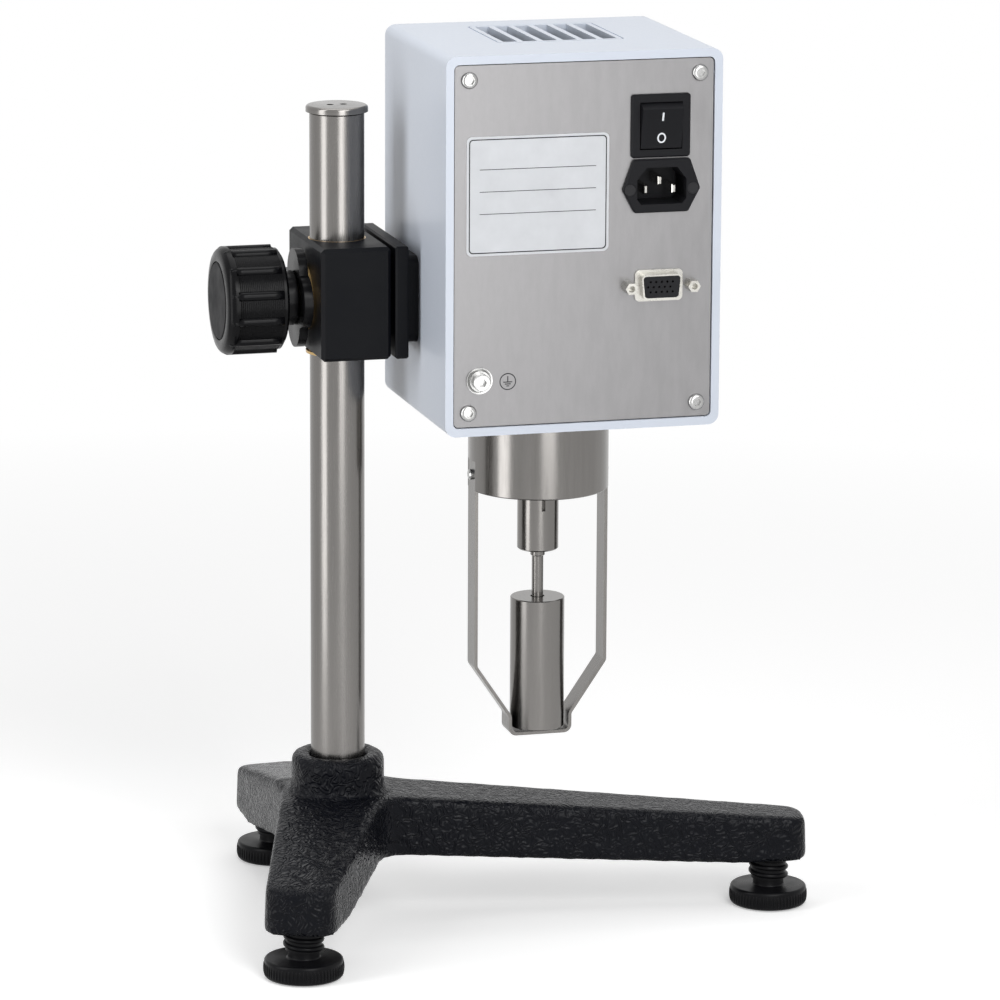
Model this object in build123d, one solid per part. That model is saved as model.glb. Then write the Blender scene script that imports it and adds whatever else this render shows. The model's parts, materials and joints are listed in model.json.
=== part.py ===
from build123d import *
import os
from math import atan2, cos, hypot, pi, radians, sin, sqrt, tan

# Rotational viscometer on a three-legged stand.
# Millimetres, +Z up. Origin: column axis at table level. +X runs from the column to the head,
# -Y is the rear panel with the sockets, +Y is the display side.

# ---- general clearances
run_fit = 0.05            # radial gap of a shaft that turns or slides in its bore
free_gap = 0.3            # air between neighbouring pieces that move
screw_gap = 0.25          # radial gap of a screw in its plain hole

# ---- column
rod_dia = 25.0
rod_seat_z = 38.0         # lower end of the rod, inside the hub
rod_top_z = 378.5
rod_edge = 0.8
rod_tap_depth = 26.0
cap_dia = 28.4
cap_thick = 3.0
cap_edge = 1.4
cap_spigot_dia = 10.0
cap_spigot_len = 12.0
spanner_hole_dia = 3.2
spanner_hole_pitch = 6.2
column_bolt_dia = 10.0
column_bolt_head_dia = 16.0
column_bolt_head_len = 9.0
column_bolt_reach = 22.0   # thread inside the rod
column_flange_dia = 21.0
column_flange_thick = 2.0
hex_key_dia = 8.0

# ---- base casting
leg_turn = -9.2           # direction of the long leg from +X
long_foot_r = 203.0
short_foot_r = 98.2
short_leg_angle = 103.6
leg_nose = 17.0           # casting beyond each foot axis
long_end_half = 13.6
long_root_half = 22.0
short_end_half = 15.8
short_root_half = 27.0
nose_radius = 9.0
web_radius = 15.0         # concave corner between two legs
back_radius = 40.0        # shallow corner between the two short legs
base_low_z = 23.0         # underside at the leg ends
base_high_z = 33.0        # underside at the hub
leg_end_top_z = 43.4
hub_top_z = 61.0          # upper face of the casting around the boss
slope_start_r = 24.0
casting_edge = 1.5
boss_dia = 43.2
boss_top_z = 78.8
boss_edge = 2.5
boss_bore_mouth = 1.2
wall_draft = 2.0

# ---- levelling feet
foot_dia = 36.8
foot_disc_thick = 9.2
foot_teeth = 60
foot_tooth_depth = 0.45
foot_neck_dia = 14.4
foot_neck_len = 3.4
stud_core_dia = 16.8
stud_dia = 18.8
stud_pitch = 4.2
stud_crest = 3.2
stud_chamfer = 0.9
stud_engaged = 9.0
foot_hole_depth = 16.0
foot_edge = 0.5
pad_dia = 30.0
pad_thick = 2.0
pad_proud = 0.5
pad_spigot_dia = 6.0
pad_spigot_len = 4.0

# ---- clamp on the column
block_x = (-14.6, 17.8)
block_y = (-31.0, 34.0)
block_z = (268.9, 320.5)
block_edge = 1.6
bush_wall = 0.6
bush_flange_thick = 1.2
boss_gap = 1.9            # slit between block and mounting plate
joint_boss_y = 44.0
joint_boss_z = 33.0
plate_thick = 6.2
seat_y = 54.0             # raised seat on the plate
seat_z = 40.0
seat_corner = 5.0
mount_screw_dia = 5.0
mount_screw_head_dia = 8.5
plate_screw_half = (12.0, 10.5)
plate_screw_grip = 6.0
head_screw_half = (21.5, 14.0)
head_screw_grip = 9.0
knob_z = 293.6
knob_dia = 49.5
knob_x = (-56.0, -27.0)
knob_land_dia = 46.4
knob_bars = 12
knob_bar_dia = 4.3
knob_bar_in = (4.9, 1.4)  # bars start and end this far inside the grip's ends
knob_shoulder = 3.2
knob_cap_dia = 35.0
knob_cap_thick = 2.0
sleeve_dia = 25.0
sleeve_end_x = -20.75
clamp_stud_dia = 10.0
clamp_stud_head_len = 12.0
thrust_pad_dia = 8.0
thrust_pad_thick = 1.6
nut_dia = 18.0
nut_flange_dia = 30.0
nut_flange_thick = 1.6
nut_end_x = -20.6
ring_dia = 45.5
ring_hub_dia = 25.6
ring_thick = 4.1
ring_lobes = 4
ring_notch_dia = 34.0

# ---- head housing
house_side_x = 31.8       # side wall next to the clamp
house_low_z = 240.5
house_y = (-73.0, 40.0)
house_rim = (4.2, 4.25)   # face of the housing beside the rear panel, and above and below it
house_wall = 3.0
house_edge = 4.0
house_front_edge = 8.0
panel_w = 119.6
panel_h = 163.0
panel_thick = 1.5
panel_inset = 0.8
panel_gap = 0.5
panel_ledge = 3.0
panel_screw_inset = 6.5
panel_screw_dia = 4.0
panel_screw_head_dia = 7.5
panel_screw_head_len = 2.3
screw_post_dia = 9.0
screw_post_len = 14.0
vent_count = 6
vent_pitch = 9.3
vent_slot = 6.5
vent_len = 50.0
vent_rear_margin = 41.0
vent_border = 3.2
vent_border_line = 0.8
vent_border_deep = 0.6

# ---- rear panel fittings: centres from the panel's right and upper edges, looking at it
switch_in = (24.7, 29.7)
switch_w = 27.6
switch_h = 28.6
switch_lip = 1.8
switch_radius = 1.5
switch_depth = 16.0
rocker_w = 19.0
rocker_r = 10.4           # ends of the rocker about its pivot
rocker_side_gap = 0.4
rocker_end_gap = 0.3
rocker_pivot_deep = 2.5   # pivot behind the face of the bezel
rocker_raised = 6.5       # raised end out from the pivot
rocker_pressed = 2.5      # pressed end out from the pivot
rocker_waist = 3.9        # middle of the face out from the pivot
rocker_back = 6.0
rocker_back_half = 5.0
inlet_in = (24.3, 56.7)
inlet_w = 36.2
inlet_h = 24.2
inlet_top_w = 26.4
inlet_low_w = 25.0
inlet_tip_drop = 1.6
inlet_flange = 2.4
inlet_mouth_w = 23.0
inlet_mouth_h = 16.6
inlet_mouth_deep = 17.0
inlet_body_wall = 1.5
inlet_high_cut = (4.4, 5.4)
inlet_low_cut = (2.0, 2.3)
inlet_radius = 1.6
inlet_pin = (2.0, 4.0)
inlet_pin_pitch = 6.6
inlet_pin_rise = 3.9
inlet_pin_short = 3.0     # pin ends lie this far inside the mouth
inlet_screw_pitch = 29.4
inlet_screw_head_dia = 5.2
inlet_screw_dia = 3.0
serial_in = (24.9, 102.0)
serial_w = 19.0
serial_h = 11.3
serial_slant = 10.0       # degrees on each side of the D shape
serial_proud = 6.2
serial_wall = 0.7
serial_radius = 2.2
serial_base = (22.3, 14.3, 1.2)
serial_screw_pitch = 29.3
serial_nut_af = 5.0
serial_nut_len = 8.4
serial_thread_dia = 2.9
serial_thread_deep = 4.4
serial_rows = (5, 5, 5)
serial_pitch = (2.6, 2.3)
serial_hole_dia = 1.0
serial_depth = 10.0
earth_in = (11.6, 21.0)   # from the left and lower edges
earth_washer_dia = 12.0
earth_washer_thick = 1.0
earth_spring_dia = 9.4
earth_spring_thick = 1.2
earth_screw_dia = 4.0
earth_head_dia = 7.7
earth_head_len = 4.0
earth_screw_len = 14.0

# ---- display side
front_rim = (8.0, 7.75)   # face of the housing beside the front panel, and above and below it
front_thick = 2.0
front_inset = 0.6
front_radius = 6.0
window_w = 84.0
window_h = 62.0
window_top = 14.0
window_thick = 1.6
window_ledge = 2.0
module_thick = 7.0
module_rim = (4.0, 3.0)
key_cols = 2
key_rows = 2
key_w = 26.0
key_h = 11.0
key_pitch = (40.0, 18.0)
key_up = 26.75            # lowest keys above the front panel's lower edge
key_travel = 0.8
key_proud = 1.6
key_stem = 3.0
key_lip = 1.2
key_radius = 3.0
key_board = (92.0, 44.0, 1.6)

# ---- drive and measuring system
collar_dia = 65.2
collar_low_z = 199.7
collar_wall = 4.0
collar_floor = 5.0
collar_edge = 0.5
collar_mouth_dia = 23.0
collar_screw_dia = 2.5
collar_screw_head_dia = 4.5
collar_screw_grip = 8.0
frame_side = 8.3          # air beside the two frame plates
bearing_plate_y = (-42.0, 34.0)
motor_plate_y = (-60.0, 26.0)
frame_plate_thick = 3.0
frame_plate_corner = 4.0
motor_plate_z = 300.0
pillar_dia = 8.0
pillar_x = 44.0
pillar_y = (-34.0, 19.0)
motor_w = 42.0
motor_len = 34.0
motor_edge = 4.0
motor_boss_dia = 22.0
motor_boss_len = 2.0
motor_shaft_dia = 5.0
motor_shaft_len = 14.0
hub_disc_dia = 52.0
hub_disc_thick = 3.0
hub_core_dia = 14.0
hub_core_len = 11.0
hub_slots = 3
hub_slot_dia = 4.4
hub_slot_in = 3.5         # slots in from the rim of either disc
spring_post_dia = 2.4
spring_post_len = 9.0
spring_post_r = 19.0
spring_turns = 3.0
spring_thick = 0.6
spring_high = 2.0
pivot_dia = 3.0
pivot_bore_len = 3.4
pivot_in_holder = 20.0
pivot_slot_dia = 3.6
pivot_slot_turn = 60.0    # degrees from the slots of the upper disc
pivot_disc_dia = 46.0
pivot_disc_thick = 1.0
pivot_collet_dia = 9.0
disc_drop = 8.0           # lower disc below the hairspring
bearing_dia = 14.0
bearing_len = 7.0
bearing_flange = 19.0
sensor = (9.0, 14.0, 12.0)
sensor_slot = 4.0

# ---- spindle and guard
holder_dia = 19.2
holder_low_z = 170.0
holder_top_z = 208.0
holder_slot_w = 1.8
holder_slot_low_z = 189.4
nut2_dia = 6.8
nut2_len = 3.4
shaft_dia = 5.4
bob_dia = 25.3
bob_z = (85.1, 147.1)
bob_recess_dia = 6.6
bob_recess_deep = 0.8
guard_inner = 30.4        # from the spindle axis to the inside of a leg
guard_thick = 1.5
guard_width = 12.5
guard_bend_z = 116.0
guard_tab_in = 15.2
guard_tab_z = 91.4
guard_low_z = 82.0
guard_bend_r = 3.0
guard_screw_dia = 3.0
guard_screw_head_dia = 5.0
guard_screw_head_len = 1.6
guard_lap = 14.0

# ---- electronics
board = (96.0, 52.0, 1.6)
board_down = 18.0         # upper edge below the top of the housing
supply = (50.0, 70.0, 26.0)
supply_in = 18.0
standoff_dia = 5.0
standoff_len = 8.0
standoff_in = 8.0         # in from the edges of the board

# ---- worked out once
rod_r = rod_dia / 2
house_w = panel_w + 2 * house_rim[0]
house_h = panel_h + 2 * house_rim[1]
house_z = (house_low_z, house_low_z + house_h)
head_x = house_side_x + house_w / 2   # spindle axis
front_w = house_w - 2 * front_rim[0]
front_h = house_h - 2 * front_rim[1]
switch_at = (panel_w - switch_in[0], switch_in[1])
inlet_at = (panel_w - inlet_in[0], inlet_in[1])
serial_at = (panel_w - serial_in[0], serial_in[1])
earth_at = (earth_in[0], panel_h - earth_in[1])
casting_reach = long_foot_r + 2 * leg_nose
bush_in_r = rod_r + run_fit
bush_out_r = bush_in_r + bush_wall
block_bore_r = bush_out_r + run_fit
plate_x0 = block_x[1] + boss_gap
house_x = (head_x - house_w / 2, head_x + house_w / 2)
house_inner_x0 = head_x - panel_w / 2 - panel_gap
plate_screw_seat_x = plate_x0 + plate_thick / 2
plate_screw_tip_x = block_x[1] - plate_screw_grip
head_screw_tip_x = house_x[0] - head_screw_grip
house_mid_z = sum(house_z) / 2
panel_face_y = house_y[0] + panel_inset
panel_back_y = panel_face_y + panel_thick
front_face_y = house_y[1] - front_inset
front_back_y = front_face_y - front_thick


def save(shape, node):
    export_step(shape, f"parts/{node}.step")


def drum(radius, z0, z1, x=0.0, y=0.0):
    return Pos(x, y, z0) * Cylinder(radius, z1 - z0, align=(Align.CENTER, Align.CENTER, Align.MIN))


def rod_x(radius, x0, x1, y=0.0, z=0.0):
    return Pos(x0, y, z) * Rot(0, 90, 0) * Cylinder(radius, x1 - x0, align=(Align.CENTER, Align.CENTER, Align.MIN))


def rod_y(radius, y0, y1, x=0.0, z=0.0):
    return Pos(x, y0, z) * Rot(-90, 0, 0) * Cylinder(radius, y1 - y0, align=(Align.CENTER, Align.CENTER, Align.MIN))


def slab(x0, x1, y0, y1, z0, z1):
    return Pos((x0 + x1) / 2, (y0 + y1) / 2, (z0 + z1) / 2) * Box(x1 - x0, y1 - y0, z1 - z0)


def prism_y(sketch, y0, y1, x=0.0, z=0.0):
    """A sketch drawn as seen from the rear, extruded along +Y from y0 to y1."""
    return extrude(Plane((x, y0, z), x_dir=(1, 0, 0), z_dir=(0, -1, 0)) * sketch, -(y1 - y0))


def ring_of_points(count, radius, start=0.0):
    return [(radius * cos(radians(start + i * 360 / count)), radius * sin(radians(start + i * 360 / count)))
            for i in range(count)]


def socket_head(head_dia, head_len, key_dia):
    """Cap screw head standing on z = 0 with its key socket facing +Z."""
    head = chamfer(drum(head_dia / 2, 0, head_len).edges().group_by(Axis.Z)[-1], head_len * 0.08)
    key = extrude(RegularPolygon(key_dia / 2, 6), head_len / 2)
    return head - Pos(0, 0, head_len / 2) * key


# ---- base casting -----------------------------------------------------------------------------

def foot_places():
    """Foot axes: the long leg first, then the rear one and the front one."""
    angles = (leg_turn, leg_turn - short_leg_angle, leg_turn + short_leg_angle)
    radii = (long_foot_r, short_foot_r, short_foot_r)
    return [(r * cos(radians(a)), r * sin(radians(a))) for r, a in zip(radii, angles)]


def leg_plan(foot_r, end_half, root_half):
    """Plan of one leg along +X, from the hub to its rounded nose."""
    tip = foot_r + leg_nose
    plan = make_face(Polyline((0, -root_half), (tip, -end_half), (tip, end_half), (0, root_half), close=True))
    nose = [v for v in plan.vertices() if v.X > foot_r]
    return fillet(nose, nose_radius)


def across(side, turn):
    """A side view of a leg made as wide as the whole casting and turned to the leg's direction."""
    return Rot(0, 0, turn) * extrude(Plane.XZ * side, casting_reach, both=True)


def leg_wedge(foot_r, turn):
    """What is cut off above the sloping top of one leg."""
    tip = foot_r + leg_nose
    side = make_face(Polyline((slope_start_r, hub_top_z), (tip, leg_end_top_z), (casting_reach, leg_end_top_z),
                              (casting_reach, boss_top_z), (slope_start_r, boss_top_z), close=True))
    return across(side, turn)


def leg_arch(foot_r, turn):
    """What is cut away below one leg, so that it arches down from the hub to its foot."""
    flat = foot_r - leg_nose
    side = make_face(Polyline((-casting_reach, 0), (-casting_reach, base_high_z), (slope_start_r, base_high_z),
                              (flat, base_low_z), (casting_reach, base_low_z), (casting_reach, 0), close=True))
    return across(side, turn)


def casting_plan():
    turns = (0.0, -short_leg_angle, short_leg_angle)
    plan = leg_plan(long_foot_r, long_end_half, long_root_half)
    for turn in turns[1:]:
        plan += Rot(0, 0, turn) * leg_plan(short_foot_r, short_end_half, short_root_half)
    plan = plan.faces()[0]
    front = [v for v in plan.vertices() if v.X > 0 and hypot(v.X, v.Y) < short_foot_r * 0.75]
    plan = fillet(front, web_radius)
    back = [v for v in plan.vertices() if v.X < 0 and abs(v.Y) < short_root_half / 2]
    return fillet(back, back_radius)


def upper_rim(body):
    """Edges between the upper faces and the walls."""
    tops = [f for f in body.faces() if f.normal_at().Z > 0.9]
    rim = {}
    for face in tops:
        for edge in face.edges():
            key = tuple(round(c, 2) for c in edge.center())
            rim.setdefault(key, []).append(edge)
    return [edges[0] for edges in rim.values() if len(edges) == 1]


def base_casting():
    body = extrude(casting_plan(), hub_top_z - base_low_z, taper=wall_draft)
    body = Rot(0, 0, leg_turn) * Pos(0, 0, base_low_z) * body
    legs = ((long_foot_r, 0.0), (short_foot_r, -short_leg_angle), (short_foot_r, short_leg_angle))
    for foot_r, turn in legs:
        body -= leg_wedge(foot_r, leg_turn + turn)
    body = fillet(upper_rim(body), casting_edge)
    keep = None
    for foot_r, turn in legs:
        arch = leg_arch(foot_r, leg_turn + turn)
        keep = arch if keep is None else keep & arch
    body -= keep
    body += drum(boss_dia / 2, base_high_z, boss_top_z)
    top = body.edges().filter_by(GeomType.CIRCLE).group_by(Axis.Z)[-1]
    body = fillet(top, boss_edge)
    body -= drum(rod_r, rod_seat_z, boss_top_z)
    body -= Pos(0, 0, boss_top_z - boss_bore_mouth) * Cone(
        rod_r, rod_r + boss_bore_mouth, boss_bore_mouth, align=(Align.CENTER, Align.CENTER, Align.MIN))
    body -= drum(column_bolt_dia / 2 + screw_gap, 0, boss_top_z)
    for x, y in foot_places():
        body -= drum(stud_dia / 2 + run_fit, 0, base_low_z + foot_hole_depth, x, y)
    return body


# ---- column -----------------------------------------------------------------------------------

def column_rod():
    rod = chamfer(drum(rod_r, rod_seat_z, rod_top_z).edges().filter_by(GeomType.CIRCLE), rod_edge)
    rod -= drum(column_bolt_dia / 2, rod_seat_z, rod_seat_z + rod_tap_depth)
    rod -= drum(cap_spigot_dia / 2, rod_top_z - cap_spigot_len - free_gap, rod_top_z)
    return rod


def column_cap():
    cap = fillet(drum(cap_dia / 2, rod_top_z, rod_top_z + cap_thick).edges().group_by(Axis.Z)[-1], cap_edge)
    cap += drum(cap_spigot_dia / 2, rod_top_z - cap_spigot_len, rod_top_z + cap_thick / 2)
    for side in (-1, 1):
        cap -= drum(spanner_hole_dia / 2, rod_top_z + cap_thick / 3, rod_top_z + cap_thick,
                    side * spanner_hole_pitch / 2)
    return cap


def column_bolt():
    """Flanged bolt that draws the rod down into the hub from below."""
    seat = base_high_z - column_flange_thick
    head = socket_head(column_bolt_head_dia, column_bolt_head_len, hex_key_dia)
    bolt = Pos(0, 0, seat) * Rot(180, 0, 0) * head + drum(column_flange_dia / 2, seat, base_high_z)
    return bolt + drum(column_bolt_dia / 2, seat, rod_seat_z + column_bolt_reach)


# ---- levelling feet ---------------------------------------------------------------------------

def toothed_disc(radius, depth, teeth):
    points = []
    for i in range(teeth):
        for step, r in ((0.0, radius), (0.6, radius), (0.8, radius - depth)):
            a = 2 * pi * (i + step) / teeth
            points.append((r * cos(a), r * sin(a)))
    return make_face(Polyline(*points, close=True))


def foot_screw(x, y):
    """Knurled foot with its coarse stud. It turns on the pad and climbs in the casting."""
    disc = Pos(0, 0, pad_proud) * extrude(toothed_disc(foot_dia / 2, foot_tooth_depth, foot_teeth),
                                          foot_disc_thick - pad_proud - foot_edge)
    rim = drum(foot_dia / 2 - foot_tooth_depth, foot_disc_thick / 2, foot_disc_thick)
    disc += chamfer(rim.edges().group_by(Axis.Z)[-1], foot_edge)
    neck_top = foot_disc_thick + foot_neck_len
    stud_top = base_low_z + stud_engaged
    stud = drum(foot_neck_dia / 2, foot_disc_thick - 1, neck_top)
    stud += drum(stud_core_dia / 2, neck_top, stud_top)
    for i in range(int((stud_top - neck_top) / stud_pitch)):
        z = neck_top + i * stud_pitch
        crest = drum(stud_dia / 2, z, z + stud_crest)
        stud += chamfer(crest.edges().filter_by(GeomType.CIRCLE), stud_chamfer)
    foot = disc + stud
    foot -= drum(pad_dia / 2 + free_gap, 0, pad_thick)
    foot -= drum(pad_spigot_dia / 2 + run_fit, 0, pad_thick + pad_spigot_len + free_gap)
    return Pos(x, y, 0) * foot


def foot_pad(x, y):
    pad = chamfer(drum(pad_dia / 2, 0, pad_thick).edges().group_by(Axis.Z)[0], pad_proud / 2)
    pad += drum(pad_spigot_dia / 2, 0, pad_thick + pad_spigot_len)
    return Pos(x, y, 0) * pad


# ---- clamp on the column ----------------------------------------------------------------------

def height_bush():
    """Thin slotted liner that slides on the rod; the block swivels about it."""
    z0, z1 = block_z[0] - bush_flange_thick, block_z[1]
    bush = drum(bush_out_r, z0, z1)
    bush += drum(bush_out_r + bush_flange_thick, z0, block_z[0])
    bush -= drum(bush_in_r, z0, z1)
    return bush


def clamp_block():
    x0, x1 = block_x
    mid_y = sum(block_y) / 2
    mid_z = sum(block_z) / 2
    block = slab(x0, x1, *block_y, *block_z)
    block = chamfer(block.edges(), block_edge)
    block += slab(x1 - block_edge, x1 + boss_gap, mid_y - joint_boss_y / 2, mid_y + joint_boss_y / 2,
                  mid_z - joint_boss_z / 2, mid_z + joint_boss_z / 2)
    block -= drum(block_bore_r, block_z[0], block_z[1])
    block -= rod_x(nut_dia / 2, x0, -rod_r / 2, 0, knob_z)
    for y, z in around_block(*plate_screw_half):
        block -= rod_x(mount_screw_dia / 2, plate_screw_tip_x, plate_x0, y, z)
    return block


def around_block(half_y, half_z):
    """Four places about the middle of the block's side, as Y and Z."""
    mid_y, mid_z = sum(block_y) / 2, sum(block_z) / 2
    return [(mid_y + i * half_y, mid_z + j * half_z) for i in (-1, 1) for j in (-1, 1)]


def mount_plate():
    """Plate that hangs the head on the block, with a raised seat for the housing wall."""
    x0, x1 = plate_x0, plate_x0 + plate_thick
    mid_y, mid_z = sum(block_y) / 2, sum(block_z) / 2
    plate = chamfer(slab(x0, x1, *block_y, *block_z).edges(), block_edge / 2)
    seat = slab(x1 - block_edge, house_x[0], mid_y - seat_y / 2, mid_y + seat_y / 2,
                mid_z - seat_z / 2, mid_z + seat_z / 2)
    plate += fillet(seat.edges().filter_by(Axis.X), seat_corner)
    for y, z in around_block(*plate_screw_half):
        plate -= rod_x(mount_screw_dia / 2 + screw_gap, x0, house_x[0], y, z)
        plate -= rod_x(mount_screw_head_dia / 2 + screw_gap, plate_screw_seat_x, house_x[0], y, z)
    for y, z in around_block(*head_screw_half):
        plate -= rod_x(mount_screw_dia / 2, head_screw_tip_x, house_x[0], y, z)
    return plate


def mount_screw(tip_x, seat_x):
    head = Rot(0, 90, 0) * socket_head(mount_screw_head_dia, mount_screw_dia, mount_screw_dia * 0.8)
    return Pos(seat_x, 0, 0) * head + rod_x(mount_screw_dia / 2, tip_x, seat_x)


def mount_screws():
    """Four screws hold the plate to the block, four more come from inside the housing."""
    short = mount_screw(plate_screw_tip_x, plate_screw_seat_x)
    long = mount_screw(head_screw_tip_x, house_inner_x0)
    screws = [Pos(0, y, z) * short for y, z in around_block(*plate_screw_half)]
    screws += [Pos(0, y, z) * long for y, z in around_block(*head_screw_half)]
    return Compound(children=screws)


def clamp_knob():
    """Grip with rounded bars standing out of its rim, on a sleeve that covers the nut."""
    x0, x1 = knob_x
    grip = rod_x(knob_land_dia / 2, x0, x1)
    grip = fillet(grip.edges().group_by(Axis.X)[0], knob_shoulder)
    for y, z in ring_of_points(knob_bars, (knob_dia - knob_bar_dia) / 2):
        grip += rod_x(knob_bar_dia / 2, x0 + knob_bar_in[0], x1 - knob_bar_in[1], y, z)
    grip += rod_x(sleeve_dia / 2, x1, sleeve_end_x)
    grip -= rod_x(knob_cap_dia / 2 + free_gap / 2, x0, x0 + knob_cap_thick)
    grip -= rod_x(nut_dia / 2 + free_gap, x1 + 2, sleeve_end_x)
    grip -= rod_x(clamp_stud_dia / 2, x0 + knob_cap_thick, sleeve_end_x)
    return Pos(0, 0, knob_z) * grip


def knob_cap():
    x0 = knob_x[0]
    cap = chamfer(rod_x(knob_cap_dia / 2, x0, x0 + knob_cap_thick).edges().group_by(Axis.X)[0], 0.4)
    return Pos(0, 0, knob_z) * cap


def clamp_stud():
    tip = thrust_pad_x() - run_fit
    stud = chamfer(rod_x(clamp_stud_dia / 2, knob_x[0] + knob_cap_thick + 1, tip).edges().group_by(Axis.X)[-1], 0.6)
    return Pos(0, 0, knob_z) * stud


def thrust_pad_x():
    return -bush_out_r - run_fit - thrust_pad_thick


def thrust_pad():
    x = thrust_pad_x()
    return Pos(0, 0, knob_z) * rod_x(thrust_pad_dia / 2, x, x + thrust_pad_thick)


def clamp_nut():
    """Brass nut let into the block's face: the stud's thread and the lock ring's journal."""
    x0 = block_x[0]
    deep = x0 + 1.0
    nut = rod_x(nut_flange_dia / 2, x0 - nut_flange_thick, x0) + rod_x(nut_dia / 2, nut_end_x, deep)
    nut -= rod_x(clamp_stud_dia / 2 + run_fit, nut_end_x, deep)
    return Pos(0, 0, knob_z) * nut


def lock_ring():
    """Winged ring behind the knob: four dished lobes on a plain hub."""
    x1 = block_x[0] - nut_flange_thick - free_gap / 2
    x0 = nut_end_x + free_gap / 2
    lobes = make_face(Polyline(*ring_outline(), close=True))
    lobes = extrude(Plane.YZ * lobes, ring_thick)
    ring = Pos(x1 - ring_thick, 0, 0) * lobes
    ring += rod_x(ring_hub_dia / 2, x0, x1)
    ring -= rod_x(nut_dia / 2 + run_fit, x0, x1)
    return Pos(0, 0, knob_z) * ring


def ring_outline():
    """Lobed outline, one lobe on top, radius swelling and falling smoothly."""
    points = []
    steps = 48
    inner = ring_notch_dia / 2
    for i in range(steps):
        a = 2 * pi * i / steps
        swell = (1 + cos(ring_lobes * (a - pi / 2))) / 2
        r = inner + (ring_dia / 2 - inner) * swell ** 0.45
        points.append((r * cos(a), r * sin(a)))
    return points


# ---- head housing -----------------------------------------------------------------------------

def panel_xz(at):
    """World X and Z of a place measured from the panel's upper left corner."""
    return head_x - panel_w / 2 + at[0], house_mid_z + panel_h / 2 - at[1]


def panel_screw_places():
    w, h, d = panel_w, panel_h, panel_screw_inset
    return [panel_xz(p) for p in ((d, d), (w - d, d), (d, h - d), (w - d, h - d))]


def housing_shell():
    y0, y1 = house_y
    outer = prism_y(RectangleRounded(house_w, house_h, house_edge + 1), y0, y1, head_x, house_mid_z)
    outer = fillet(outer.edges().group_by(Axis.Y)[-1], house_edge)
    open_w, open_h = panel_w + 2 * panel_gap, panel_h + 2 * panel_gap
    shell = outer - prism_y(RectangleRounded(open_w, open_h, 2.5), y0, y1 - house_wall - front_thick,
                            head_x, house_mid_z)
    # recess and windows for the display side
    mid = house_mid_z
    shell -= prism_y(RectangleRounded(front_w, front_h, front_radius), front_back_y, y1, head_x, mid)
    wx, wz = head_x, window_mid_z()
    shell -= slab(wx - window_w / 2, wx + window_w / 2, y1 - house_wall * 3, y1, wz - window_h / 2, wz + window_h / 2)
    for x, z in key_places():
        shell -= slab(x - key_w / 2, x + key_w / 2, y1 - house_wall * 3, y1, z - key_h / 2, z + key_h / 2)
    # vents in the top, with the fine line around them
    shell -= vent_slots()
    # posts for the rear panel
    for x, z in panel_screw_places():
        side = 1 if x > head_x else -1
        wall_x = head_x + side * (open_w / 2 + 0.5)
        post = rod_y(screw_post_dia / 2, panel_back_y, panel_back_y + screw_post_len, x, z)
        post += slab(min(x, wall_x), max(x, wall_x), panel_back_y, panel_back_y + screw_post_len,
                     z - panel_ledge / 2, z + panel_ledge / 2)
        post -= rod_y(panel_screw_dia / 2, panel_back_y, panel_back_y + screw_post_len - 1, x, z)
        shell += post
    shell -= drum(collar_dia / 2 + free_gap, house_z[0], inner_floor_z(), head_x)
    for x, z in key_board_posts():
        shell += rod_y(standoff_dia / 2, key_board_y(), house_y[1] - house_wall - front_thick + 0.5, x, z)
    for y, z in around_block(*head_screw_half):
        shell -= rod_x(mount_screw_dia / 2 + screw_gap, house_x[0], house_inner_x0, y, z)
    return shell


def vent_slots():
    span = (vent_count - 1) * vent_pitch
    y0 = house_y[0] + vent_rear_margin
    mid_y = y0 + vent_len / 2
    z0 = house_z[1] - 3 * house_wall
    cut = [slab(head_x - span / 2 + i * vent_pitch - vent_slot / 2, head_x - span / 2 + i * vent_pitch + vent_slot / 2,
                y0, y0 + vent_len, z0, house_z[1]) for i in range(vent_count)]
    w = span + vent_slot + 2 * vent_border
    h = vent_len + 2 * vent_border
    line = RectangleRounded(w, h, vent_border) - RectangleRounded(
        w - 2 * vent_border_line, h - 2 * vent_border_line, vent_border - vent_border_line)
    cut.append(Pos(head_x, mid_y, house_z[1] - vent_border_deep) * extrude(line, vent_border_deep))
    return cut


def inlet_outline(grow=0.0):
    half, top, low = inlet_w / 2 + grow, inlet_top_w / 2 + grow * 0.6, inlet_low_w / 2 + grow * 0.6
    up = inlet_h / 2 + grow
    face = make_face(Polyline((-half, -inlet_tip_drop), (-low, -up), (low, -up), (half, -inlet_tip_drop),
                              (top, up), (-top, up), close=True))
    return fillet(face.vertices(), inlet_radius)


def inlet_mouth(grow=0.0):
    w, h = inlet_mouth_w / 2 + grow, inlet_mouth_h / 2 + grow
    (hx, hz), (lx, lz) = inlet_high_cut, inlet_low_cut
    return make_face(Polyline((-w + lx, -h), (w - lx, -h), (w, -h + lz), (w, h - hz), (w - hx, h),
                              (-w + hx, h), (-w, h - hz), (-w, -h + lz), close=True))


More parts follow.
